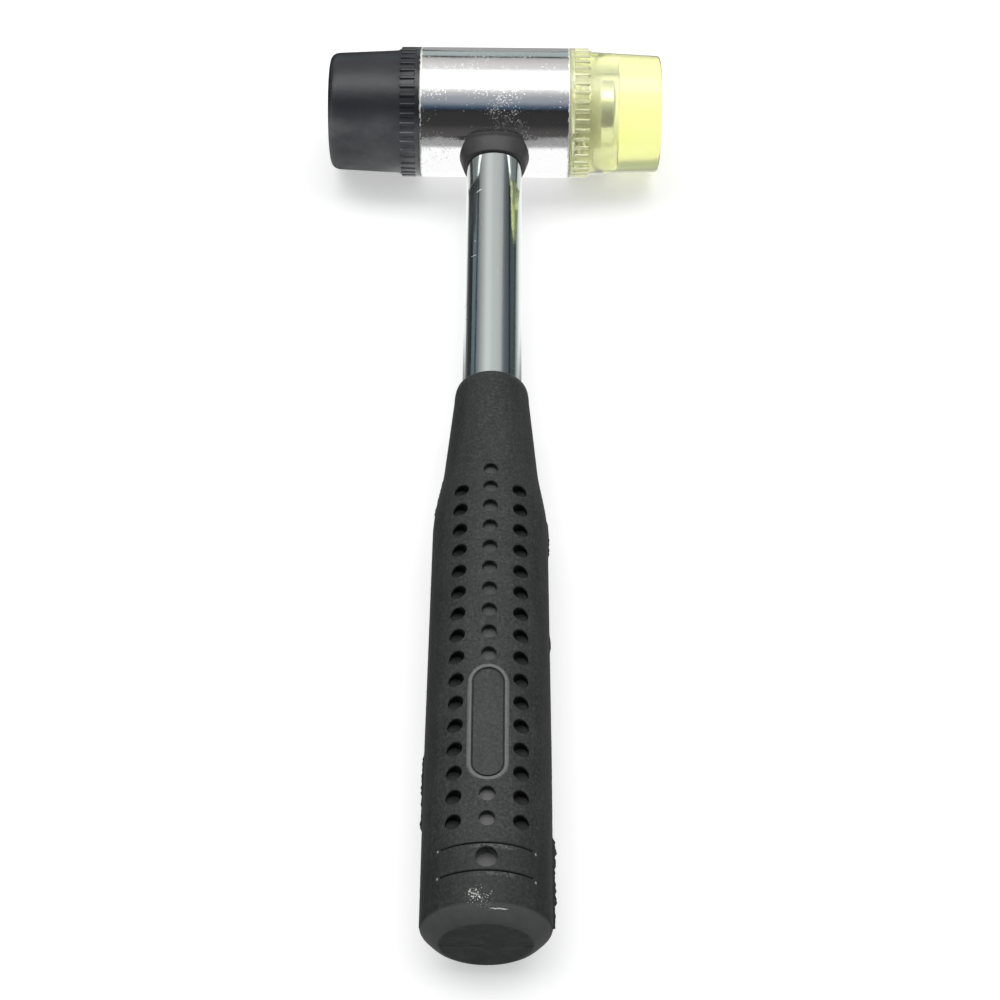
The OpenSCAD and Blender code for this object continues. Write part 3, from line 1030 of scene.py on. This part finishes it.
lip = []
for k in range(12):
    a = math.pi / 2 * k / 12
    lip.append((MOUTH_R + (NECK_R - MOUTH_R) * math.sin(a), MOUTH_AT + LIP_LEN * (1 - math.cos(a)), 0))
shoulder = [(shoulder_r(k / 14), SHOULDER_AT + SHOULDER_LEN * k / 14, 0) for k in range(15)]
body_line = [(SHOULDER_R + SWELL * k / 6, BODY_AT + SWELL_LEN * k / 6, 0) for k in range(1, 7)]
outer_line = lip + [(NECK_R, NECK_AT, 0)] + shoulder + body_line


def grip_r_at(along):
    """Radius of the grip at a distance from the head's axis, read off its outline."""
    for low, high in zip(outer_line, outer_line[1:]):
        if low[1] <= along <= high[1]:
            share = (along - low[1]) / (high[1] - low[1])
            return low[0] + share * (high[0] - low[0])
    return GRIP_R


print(f"grip outline with {len(outer_line)} points")

# %% Spin the grip
BORE_END = TUBE_END + 0.1
MOUTH_EDGE = 0.15

grip_bm = bmesh.new()
grip_outline = softened([
    (0, BORE_END, 0),
    (TUBE_R + PRESSED, BORE_END, 0),
    (TUBE_R + PRESSED, MOUTH_AT + MOUTH_EDGE, 0.1),
] + outer_line + [
    (GRIP_R, HANDLE_LEN - CHAMFER - BUTT_RING, 0),
    (GRIP_R, HANDLE_LEN - CHAMFER, CHAMFER_ROUND),
    (GRIP_R - CHAMFER, HANDLE_LEN, BUTT_ROUND),
    (GRIP_R / 2, HANDLE_LEN, 0),
    (0, HANDLE_LEN, 0),
])
lathe(grip_bm, grip_outline, 160)
print(f"grip blank: {len(grip_bm.faces)} faces")

# %% [markdown]
# ## Label place
#
# A low ring with round ends frames a bare panel on top of the grip. It starts as a circle, whose two
# halves are pulled apart into a bar with round ends. Inset makes the ring, extrude gives it a height, and
# a last step lays it on the round grip by moving every point up to the surface under it. The thin groove
# inside the ring is the same shape, carved instead of added.

# %% Ring and groove of the label place
HOLE_PITCH = 5.75
HOLE_R = 1.8
FIRST_HOLE = MOUTH_AT + 32.8
ROW_HOLES = 16
LABEL_FROM = 10
LABEL_HOLES = 5
LABEL_AT = FIRST_HOLE + (LABEL_FROM + (LABEL_HOLES - 1) / 2) * HOLE_PITCH
LABEL_W = 8.8
LABEL_GAP = 1.15
LABEL_LEN = (LABEL_HOLES + 1) * HOLE_PITCH - 2 * (HOLE_R + LABEL_GAP)
LABEL_RING = 0.8
LABEL_RISE = 0.3
LABEL_ROOT = 0.6
LABEL_ROUND = 0.12
LABEL_GROOVE = 0.45
TOOL_OVER = 1.2


def surface_y(x, along):
    """Height of the grip's top over its axis, off to one side by x."""
    return math.sqrt(max(0.0, grip_r_at(along) ** 2 - x ** 2))


def round_bar_ring(width, ring, low, high, edge):
    """A ring shaped like a bar with round ends, laid on the grip from low to high over its surface."""
    bm = bmesh.new()
    bmesh.ops.create_circle(bm, cap_ends=True, segments=64, radius=width / 2)
    straight = (LABEL_LEN - LABEL_W) / 2
    for v in bm.verts:
        v.co.y += math.copysign(straight, v.co.y)
    bmesh.ops.inset_region(bm, faces=bm.faces, thickness=ring, use_even_offset=True, use_boundary=True)
    panel = max(bm.faces, key=lambda f: len(f.verts))
    bmesh.ops.delete(bm, geom=[panel], context="FACES_ONLY")
    top = bmesh.ops.extrude_face_region(bm, geom=bm.faces, use_keep_orig=True)["geom"]
    risen = [g for g in top if isinstance(g, bmesh.types.BMVert)]
    bmesh.ops.translate(bm, verts=risen, vec=(0, 0, high - low))
    tidy(bm)
    if edge:
        rims = [e for e in bm.edges if min(v.co.z for v in e.verts) > (high - low) / 2
                and e.calc_face_angle(0) > 1]
        break_edges(bm, rims, edge, 2)
    for v in bm.verts:
        along = LABEL_AT + v.co.y
        v.co = Vector((v.co.x, surface_y(v.co.x, along) + low + v.co.z, along))
    bm.normal_update()
    bmesh.ops.recalc_face_normals(bm, faces=bm.faces)
    return bm


inside_w = LABEL_W - 2 * LABEL_RING
label_ring = round_bar_ring(LABEL_W, LABEL_RING, -LABEL_ROOT, LABEL_RISE, LABEL_ROUND)
grip_bm = carved(grip_bm, label_ring, "UNION")
label_groove = round_bar_ring(inside_w, LABEL_GROOVE, -LABEL_GROOVE, TOOL_OVER, 0)
print(f"label place of {LABEL_LEN:.1f} by {LABEL_W:.1f} mm")

# %% [markdown]
# ## Sunk holes and grooves
#
# Rows of blind holes run along the grip, sunk straight down by the mould's pins, with flat floors. Each
# hole could be modelled into the surface face by face, but the rows at the sides meet a sloping surface.
# It is easier to make a tool for each hole and carve them all at once. A tool flares at its mouth, and
# its flare follows the surface, so the hole's rim comes out softly broken, as rubber's is.

# %% Tools for holes and grooves
HOLE_RIM = 0.14
HOLE_ROUND = 0.3
TOOL_TOP = 2.4
FLARE_DEPTH = 0.6
GROOVE_HALF = math.radians(44.5)
GROOVE_DEPTH = 0.7
GROOVE_OVER = 2

# Half widths of a groove on its floor, just under the grip's skin and just over it
GROOVE_FLOOR = 0.12
GROOVE_UNDER = 0.2
GROOVE_MOUTH = 0.3
SKIN_GAP = 0.1


def add_tool(bm, part, name):
    """Adds one tool to the others, so that all are carved at once."""
    mesh = mesh_of(part, name)
    bm.from_mesh(mesh)
    bpy.data.meshes.remove(mesh)


def hole_tool(bm, along, angle, radius, depth):
    """One tool, turned on a lathe and stood on the grip's top at an angle from the middle row."""
    part = bmesh.new()
    mouth_r = radius + HOLE_RIM
    outline = softened([(0, -depth, 0), (radius, -depth, HOLE_ROUND), (radius, -HOLE_RIM * 1.4, 0.2),
                        (mouth_r, HOLE_RIM * 0.6, 0), (mouth_r, TOOL_TOP, 0), (0, TOOL_TOP, 0)], 3)
    lathe(part, outline, 28)
    side = grip_r_at(along) * math.sin(angle)
    middle = surface_y(side, along)
    for v in part.verts:
        x = side + v.co.x
        run = along + v.co.y
        follow = min(1.0, max(0.0, 1 + (v.co.z + FLARE_DEPTH) / FLARE_DEPTH))
        level = middle + (surface_y(x, run) - middle) * follow
        v.co = Vector((x, level + v.co.z, run))
    part.normal_update()
    bmesh.ops.recalc_face_normals(part, faces=part.faces)
    add_tool(bm, part, "hole_tool")


def groove_tool(bm, along):
    """A shallow groove across the top, as a flared outline spun through part of a turn."""
    part = bmesh.new()
    half = [(GRIP_R - GROOVE_DEPTH, GROOVE_FLOOR), (GRIP_R - SKIN_GAP, GROOVE_UNDER),
            (GRIP_R + SKIN_GAP, GROOVE_MOUTH), (GRIP_R + GROOVE_OVER, GROOVE_MOUTH)]
    outline = [(half[0][0], -GROOVE_FLOOR)] + half + [(r, -z) for r, z in reversed(half[1:])]
    corners = [part.verts.new((r, 0, along + z)) for r, z in outline]
    lines = [part.edges.new((corners[i], corners[i - 1])) for i in range(len(corners))]
    turn_back = Matrix.Rotation(math.pi / 2 - GROOVE_HALF, 3, "Z")
    bmesh.ops.rotate(part, verts=corners, cent=(0, 0, 0), matrix=turn_back)
    bmesh.ops.spin(part, geom=corners + lines, cent=(0, 0, 0), axis=(0, 0, 1), dvec=(0, 0, 0),
                   angle=2 * GROOVE_HALF, steps=40)
    bmesh.ops.holes_fill(part, edges=[e for e in part.edges if e.is_boundary], sides=0)
    tidy(part)
    add_tool(bm, part, "groove_tool")


print("tools for the holes and grooves")

# %% [markdown]
# ## Grip rubber
#
# The grip's rubber starts from the layers that all the rubbers share, but it tells more: streaks from how
# the rubber flowed, a label ring polished by hands and paler as a painted highlight, painted light on the
# floors of the middle holes, painted highlights on the rims of the holes and on the lips below the grooves,
# painted shade inside the holes at the sides and along the sides of the grip, rubber darker towards the
# butt, shiny flakes left by the mould release near the butt, painted glints at the ends of the grooves, and
# a dull, scuffed end with the line of the mould across it. Each is a mask by where it is on the grip,
# measured along and across the handle, and the masks then change the shared layers one by one.

# %% Masks on the grip
THUMB_AT = HANDLE_LEN - 13.4
GROOVE_OFFSET = 3.1
GROOVE_AT = [THUMB_AT - GROOVE_OFFSET, THUMB_AT + GROOVE_OFFSET]

# Places on the grip from the head's middle, the first ones with how far the flakes reach and how they crowd
FLAKES_AT = [(-2.6, -241.0, 13.6, 2.5, 0.17), (-0.9, -241.6, 13.8, 3.8, 0.1)]
FLAKE_LINE = (2.9, -243.4, 13.5)
# Places of the painted glints at the ends of the grooves, from the head's middle, in millimetres
GROOVE_ENDS = [(-10.1, -229.6, 9.5), (10.1, -230.0, 9.5), (-10.1, -235.8, 9.5), (10.1, -236.4, 9.5)]


def label_masks(f, side, down, height):
    """1 on the raised ring of the label place, and 1 on the panel inside it."""
    straight = (LABEL_LEN - LABEL_W) / 2
    from_straight = abs(down - LABEL_AT * MM) - straight * MM
    past_end = from_straight.math("MAXIMUM", from_straight, 0.0)
    reach = f.length(side, past_end)
    inner = (LABEL_W / 2 - LABEL_RING) * MM
    outer = LABEL_W / 2 * MM
    ring = f.rise(reach, inner - 0.0002, inner) * (1 - f.rise(reach, outer, outer + 0.0002))
    panel = 1 - f.rise(reach, inner - 0.0006, inner - 0.0003)
    on_top = f.rise(height, 0.006, 0.009)
    return ring * on_top, panel * on_top


def flake_and_glint_mask(f, place):
    """1 on each shiny flake near the butt, and on the painted glints at the ends of the grooves."""
    crumbs = f.cloud(place, 2700, 3, 0.6)
    flakes_and_glints = short_mark(f, f.ragged(place, 900, 0.0005), FLAKE_LINE, 0.05, 2.2, 0.14)
    for x, y, z, reach, crowd in FLAKES_AT:
        near = 1 - f.rise(f.distance(place, (x, y, z)), reach * 0.25 * MM, reach * MM)
        flakes_and_glints = flakes_and_glints + f.rise(crumbs + near * crowd, 0.68, 0.72) * near
    # Painted glints: small bright dots at the ends of the grooves
    for end in GROOVE_ENDS:
        flakes_and_glints = flakes_and_glints + (1 - f.rise(f.distance(place, end), 0.0001, 0.0004)) * 0.6
    return flakes_and_glints


def sunk_masks(f, side, down, height):
    """1 on the rim of each hole for a painted highlight, on the floor of each middle-row hole for painted
    light, and inside the holes at the sides for painted shade.
    """
    radius = f.length(side, height)
    stops = [((along - MOUTH_AT) / GRIP_LEN, [r / GRIP_R] * 3) for r, along, _ in outer_line[len(lip):]]
    share = (down - MOUTH_AT * MM) * (1 / (GRIP_LEN * MM))
    depth = f.ramp(share, stops) * (GRIP_R * MM) - radius
    past_butt = f.rise(down, (HANDLE_LEN - CHAMFER - 2) * MM, (HANDLE_LEN - CHAMFER - 1.5) * MM)
    body = f.rise(down, (NECK_AT + 10) * MM, (NECK_AT + 11) * MM) * (1 - past_butt)
    at_sides = f.rise(abs(side), 0.003, 0.0042)
    # Painted highlight: a thin pale line round the rim of each hole
    rims = f.rise(depth, 0.00003, 0.00009) * (1 - f.rise(depth, 0.00016, 0.0003)) * body
    # Painted light on the floor of each hole in the middle row
    painted_light_floors = f.rise(depth, 0.0013, 0.0017) * (1 - at_sides) * body
    # The last mask is for painted shade inside the holes at the sides
    return rims, painted_light_floors, f.rise(depth, 0.0004, 0.001) * at_sides * body


def groove_lip_highlights(f, side, down):
    """1 on the lower lip of each groove, where a highlight is painted."""
    # The painted highlight stays near the middle of the top
    highlight_span = 1 - f.rise(abs(side - 0.0015), 0.002, 0.006)
    lip_highlights = sum(1 - f.rise(abs(down - (along + 0.75) * MM), 0.0002, 0.0007) for along in GROOVE_AT)
    return lip_highlights * highlight_span


print("masks for the label place, the flakes, the holes and the grooves")

# %% Grip finish
def grip_finish(name):
    """The grip's rubber, changed by every mask in turn from the broad ones to the small ones."""
    f = finish_named(name)
    colour, rough, relief = rubber_layers(f, (0.030, 0.032, 0.031), (0.038, 0.041, 0.040), 0.5, 0.6, 0.35)
    place = f.laid_place()
    grain = f.cloud(place, 1500, 4, 0.75)
    side, back, height = f.parts(place)
    down = 0 - back
    streaks = f.rise(f.cloud(f.object_place(scale=(1, 0.07, 1)), 620, 3), 0.45, 0.7)
    ring, panel = label_masks(f, side, down, height)
    flakes_and_glints = flake_and_glint_mask(f, place)
    rims, painted_light_floors, painted_shade_holes = sunk_masks(f, side, down, height)
    lip_highlights = groove_lip_highlights(f, side, down)
    lower = f.rise(down, 0.16, 0.215)
    butt_end = f.rise(down, (HANDLE_LEN - 0.3) * MM, (HANDLE_LEN - 0.1) * MM)
    edge_at = HANDLE_LEN - CHAMFER
    chamfer = f.rise(down, (edge_at - 0.3) * MM, (edge_at + 0.6) * MM) * (1 - butt_end)
    worn = f.cloud(place, 260, 4)
    broken = f.rise(f.cloud(place, 420, 3), 0.42, 0.56)
    seam = (1 - f.rise(abs(height + (worn - 0.5) * 0.0022), 0.0001, 0.0004)) * butt_end * broken
    # Painted shade: darker along both sides of the grip, fading out towards the top and the bottom
    painted_shade_sides = (1 - f.rise(abs(height), 0.002, 0.0125)) * (1 - chamfer) * (1 - butt_end)
    # The rubber is darker towards the butt
    darker_towards_butt = f.rise(down, 0.224, 0.234) * (1 - chamfer) * (1 - butt_end)
    pale = streaks * 0.08 + panel * 0.14 + chamfer * (0.62 + worn * 0.6) + butt_end * 0.42
    colour = f.layered(colour, [
        ((1 - f.rise(grain, 0.36, 0.5)) * 0.55, (0.008, 0.009, 0.0085)),
        (f.rise(grain, 0.52, 0.68) * 0.4, (0.11, 0.113, 0.11)),
        # Painted shade on the sides
        (painted_shade_sides * 0.5, (0.014, 0.015, 0.0145)),
        # Darker towards the butt
        (darker_towards_butt * 0.35, (0.012, 0.0125, 0.012)),
        (pale, (0.09, 0.093, 0.09)),
        (butt_end * f.rise(worn, 0.35, 0.6) * 0.4, (0.02, 0.021, 0.02)),
        (seam * 0.6, (0.008, 0.008, 0.008)),
        # The label ring: polished, so less rough, and paler as a painted highlight
        (ring * (0.38 + grain * 0.44), (0.2, 0.205, 0.2)),
        # Painted shade inside the holes at the sides
        (painted_shade_holes * 0.8, (0.006, 0.0065, 0.006)),
        # Painted light on the floors of the middle holes, stronger towards the butt
        (painted_light_floors * (0.2 + lower * 0.34), (0.2, 0.2, 0.195)),
        # Painted highlights on the rim of each hole and on the lower lip of each groove
        (rims * 0.5 + lip_highlights * f.rise(grain, 0.4, 0.6) * 0.4, (0.2, 0.2, 0.195)),
        # Shiny flakes near the butt, and the painted glints at the ends of the grooves
        (flakes_and_glints * 0.8, (0.75, 0.75, 0.73)),
    ])
    rough = rough - ring * 0.12 - flakes_and_glints * 0.25 + butt_end * 0.15
    relief = relief + streaks * 0.1 - seam * 1.5 + flakes_and_glints * 0.6
    return f.skin(Base_Color=colour, Roughness=rough, Specular_IOR_Level=0.2, Normal=f.bump(relief, 0.0001))


grip_rubber = grip_finish("grip_rubber")
print("the grip's own rubber")

# %% Lay out the tools and carve
SIDE_ROW = math.radians(30.6)
WALL_R = HOLE_R - 0.1
MIDDLE_DEPTH = 1.8
SIDE_DEPTH = 2.6
THUMB_R = 2.3
THUMB_DEPTH = 3.0


def top_tools(middle_row):
    """Tools for the holes of one side of the grip."""
    bm = bmesh.new()
    for i in middle_row:
        hole_tool(bm, FIRST_HOLE + i * HOLE_PITCH, 0, WALL_R, MIDDLE_DEPTH)
    for i in range(1, ROW_HOLES + 1):
        for side in (-SIDE_ROW, SIDE_ROW):
            hole_tool(bm, FIRST_HOLE + i * HOLE_PITCH, side, WALL_R, SIDE_DEPTH)
    hole_tool(bm, THUMB_AT, 0, THUMB_R, THUMB_DEPTH)
    return bm


def top_grooves():
    """Tools for the two grooves of one side."""
    bm = bmesh.new()
    for along in GROOVE_AT:
        groove_tool(bm, along)
    return bm


full_row = list(range(ROW_HOLES + 1))
label_row = [i for i in full_row if not LABEL_FROM <= i < LABEL_FROM + LABEL_HOLES]
for tool in (top_tools(label_row), half_turn(top_tools(full_row), "Z"), label_groove,
             top_grooves(), half_turn(top_grooves(), "Z")):
    grip_bm = carved(grip_bm, tool, "DIFFERENCE")
piece_of(grip_bm, "rubber_grip", grip_rubber, "hammer", "grip", ALONG_HANDLE, 40)

# %% [markdown]
# ## Parting line
#
# The two halves of the grip's mould met along its sides and across the butt, and left a thin ragged fin.
# It is a grid three points wide that follows the side of the grip, and its middle line stands out by a
# noise that comes and goes.

# %% Fins along the sides
FIN_FROM = 8
FIN_GAP = 0.5
FIN_STEPS = 300
FIN_REACH = 1.2
FIN_ROOT = 0.1
FIN_HALF_W = 0.3

# Start and end along the handle and height of each ragged stretch, by side, in millimetres
FIN_BURSTS = {
    -1: [(126, 138, 0.35), (201, 220, 0.5)],
    1: [(138, 149, 0.4), (170, 175, 0.4), (221, 243, 0.8)],
}


def burst_at(side, along):
    """How much ragged rubber stands out here, from the list of places where the mould leaked."""
    for start, end, height in FIN_BURSTS[side]:
        if start < along < end:
            return height * min(1.0, (along - start) / 1.5, (end - along) / 1.5)
    return 0.0


def parting_fin(name, side):
    """A thin fin along one side, which stands out where the mould leaked."""
    start = MOUTH_AT + FIN_FROM
    end = HANDLE_LEN - CHAMFER - FIN_GAP
    bm = bmesh.new()
    bmesh.ops.create_grid(bm, x_segments=2, y_segments=FIN_STEPS, size=1)
    for v in bm.verts:
        along = start + (end - start) * (v.co.y + 1) / 2
        slow = abs(noise.noise(Vector((side * 3.0, along * 0.35, 2.0))))
        crumb = abs(noise.noise(Vector((side * 9.0, along * 0.7, 5.0))))
        stand = 0.03 + 0.05 * crumb + burst_at(side, along) * (0.45 + 0.8 * slow + 0.8 * crumb)
        middle = abs(v.co.x) < 0.5
        radius = grip_r_at(along) + (min(FIN_REACH, stand) if middle else -FIN_ROOT)
        v.co = Vector((side * radius, v.co.x * FIN_HALF_W, along))
    return piece_of(bm, name, grip_rubber, "hammer", None, ALONG_HANDLE, 60)


parting_fin("parting_fin_left", -1)
parting_fin("parting_fin_right", 1)

# %% [markdown]
# ## Studio
#
# The light is a broad soft panel above and behind the hammer, in a room that is dark on the camera's side
# and grey at both sides. That is what the plating in the photograph mirrors: white overhead, grey behind,
# and a dark band from the front. It could be built from lamps and cards, but a sky that depends only on
# direction is simpler: one ramp goes from the front over the top to the back, and another from left to
# right. To the camera the sky is white.

# %% Sky
PLAIN = (1, 1, 1)
WARM = (1.03, 0.985, 0.985)
BLUISH = (0.92, 0.985, 1.1)
BLUE = (0.65, 0.95, 1.4)
GREENISH = (0.91, 1.045, 1.045)

# Degrees from the front over the top to the back, the light's level there and its tint
SKY = [
    (0, 0.13, WARM), (12, 0.096, WARM), (20, 0.054, WARM), (42, 0.048, WARM), (46, 0.035, BLUISH),
    (49, 0.08, BLUE), (53, 0.17, BLUE), (60.5, 0.44, BLUISH), (69, 0.52, BLUISH), (77, 0.75, PLAIN),
    (84, 1.26, PLAIN), (90, 4.5, PLAIN), (112, 4.9, PLAIN), (119, 1.72, PLAIN), (127, 0.99, PLAIN),
    (137, 0.92, WARM), (147, 0.76, WARM), (155, 0.64, PLAIN), (156.5, 0.103, WARM), (159.5, 0.107, WARM),
    (163, 0.58, GREENISH), (180, 0.614, GREENISH),
]

# Share of a direction that points to the right, the light's level there and its tint
ACROSS = [
    (-1, 0.083, PLAIN), (-0.83, 0.093, PLAIN), (-0.79, 0.257, BLUISH), (-0.76, 0.393, BLUISH),
    (-0.69, 0.4, BLUISH), (-0.58, 0.597, PLAIN), (-0.46, 0.78, PLAIN), (-0.31, 1.0, PLAIN),
    (-0.16, 0.97, PLAIN), (0, 0.83, PLAIN), (0.16, 0.8, PLAIN), (0.31, 0.76, PLAIN), (0.42, 0.66, PLAIN),
    (0.5, 0.343, BLUISH), (0.58, 0.227, BLUISH), (0.69, 0.21, BLUISH), (0.76, 0.217, BLUISH),
    (0.79, 0.063, PLAIN), (1, 0.08, PLAIN),
]
BRIGHTEST = max(level for _, level, _ in SKY)
MIDDLE_SHARE = 0.83
SIDE_LEVEL = 0.55 / BRIGHTEST
PANEL_BACK = (112 / 180, 122 / 180)


def grey(level):
    """A colour with the same level in all channels."""
    return (level, level, level, 1)


def tinted_stops(rows, low, high, brightest):
    """Stops of a colour ramp from rows of place, level and tint, with the places put between 0 and 1."""
    return [((place - low) / (high - low), [level * share / brightest for share in tint])
            for place, level, tint in rows]


sky = Finish(bpy.data.worlds.new("studio"))
scene.world = sky.owner
toward_x, toward_y, toward_z = sky.parts(sky.node("ShaderNodeTexCoord", out="Generated"))
overhead = toward_z.math("ARCTAN2", toward_z, 0 - toward_y) * (1 / math.pi)
glow = sky.ramp(overhead, tinted_stops(SKY, 0, 180, BRIGHTEST))
width = sky.ramp(toward_x * 0.5 + 0.5, tinted_stops(ACROSS, -1, 1, 1))
beside = sky.rise(abs(toward_x), 0.5, 0.85)
in_front = sky.mix(beside, sky.product(glow, grey(MIDDLE_SHARE)), grey(SIDE_LEVEL))
tinted = sky.mix(sky.rise(overhead, *PANEL_BACK), in_front, sky.product(glow, width))
lit = sky.node("ShaderNodeBackground", None, {"Color": tinted, "Strength": BRIGHTEST})
white = sky.node("ShaderNodeBackground", None, {"Color": grey(1), "Strength": 1.0})
sky.show(sky.blend(sky.node("ShaderNodeLightPath", out="Is Camera Ray"), lit, white))
print(f"sky with {len(SKY)} levels")

# %% [markdown]
# ## Floor
#
# The floor is a pale matt sheet that keeps the soft shadow, with enough white added for the camera, and
# more added as painted light for light that has come through the plastic, less of it far behind the head.
# Mirrors see a painted reflection in its place: a small sheet of light, bright under the head and the
# handle, and falling off to both sides.

# %% Floor
# Painted reflection: distance from the handle's line in millimetres, and how bright mirrors see the floor
# there
SHEET = [
    (-100, 0.02), (-58, 0.025), (-45, 0.08), (-33, 0.17), (-25, 1.0),
    (25, 1.0), (35, 0.85), (48, 0.52), (79, 0.3), (100, 0.15),
]
SHEET_HALF = 100
floor = finish_named("studio_floor")
seen = floor.node("ShaderNodeLightPath", out="Is Camera Ray")
mirrored = seen.other("Is Glossy Ray")
through = seen.other("Is Transmission Ray")
floor_x, floor_y, _ = floor.parts(floor.object_place())
front = floor.rise(floor_y, HEAD_AT.y - 0.080, HEAD_AT.y - 0.058)
back = 1 - floor.rise(floor_y, HEAD_AT.y + 0.005, HEAD_AT.y + 0.02)
sheet_rows = [(place, level, PLAIN) for place, level in SHEET]
sheet_stops = tinted_stops(sheet_rows, -SHEET_HALF, SHEET_HALF, 1)
sheet_share = floor_x * (0.5 / (SHEET_HALF * MM)) + 0.5
# Painted reflection: mirrors see the floor brighter near the head
near_head = floor.mix(front * back, grey(0.38), grey(1.2))
painted_reflection = floor.product(floor.ramp(sheet_share, sheet_stops), near_head)
mirror_light = floor.node("ShaderNodeEmission", None, {"Color": painted_reflection, "Strength": 1.0})
shade = floor.node("ShaderNodeBsdfDiffuse", None, {"Color": grey(0.03)})
in_mirrors = floor.node("ShaderNodeAddShader", None, {0: shade, 1: mirror_light})
matt = floor.node("ShaderNodeBsdfDiffuse", None, {"Color": (0.62, 0.62, 0.615, 1)})
plain = floor.node("ShaderNodeEmission", None, {"Color": grey(1), "Strength": 1.0})
dark = floor.node("ShaderNodeEmission", None, {"Color": grey(0), "Strength": 0.0})
behind = floor.rise(floor_y, HEAD_AT.y + 0.005, HEAD_AT.y + 0.12)
# Painted light: through the plastic the floor glows brighter than the camera sees it, less far behind the
# head
extra = floor.blend(seen * 0.48 + through * (0.8 - behind * 0.72), dark, plain)
lit_floor = floor.node("ShaderNodeAddShader", None, {0: matt, 1: extra})
floor.show(floor.blend(mirrored * (1 - through), lit_floor, in_mirrors))
print(f"floor finish with {len(SHEET)} levels for mirrors")

# %% Floor mesh
FLOOR_HALF = 3
FLOOR_DROP = 0.05 * MM

floor_bm = bmesh.new()
bmesh.ops.create_grid(floor_bm, x_segments=1, y_segments=1, size=FLOOR_HALF)
bmesh.ops.translate(floor_bm, verts=floor_bm.verts, vec=(0, 0, -FLOOR_DROP))
floor_object = bpy.data.objects.new("studio_floor", mesh_of(floor_bm, "studio_floor"))
floor_object.data.materials.append(floor.owner)
scene.collection.objects.link(floor_object)
floor_object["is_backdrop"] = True
print("floor under the hammer")

# %% Compare the boxes and finish
made_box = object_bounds()
grown = [round((made_box[1][i] - made_box[0][i] - cad_box[1][i] + cad_box[0][i]) / MM, 3) for i in range(3)]
print("growth over the CAD box in mm:", grown)
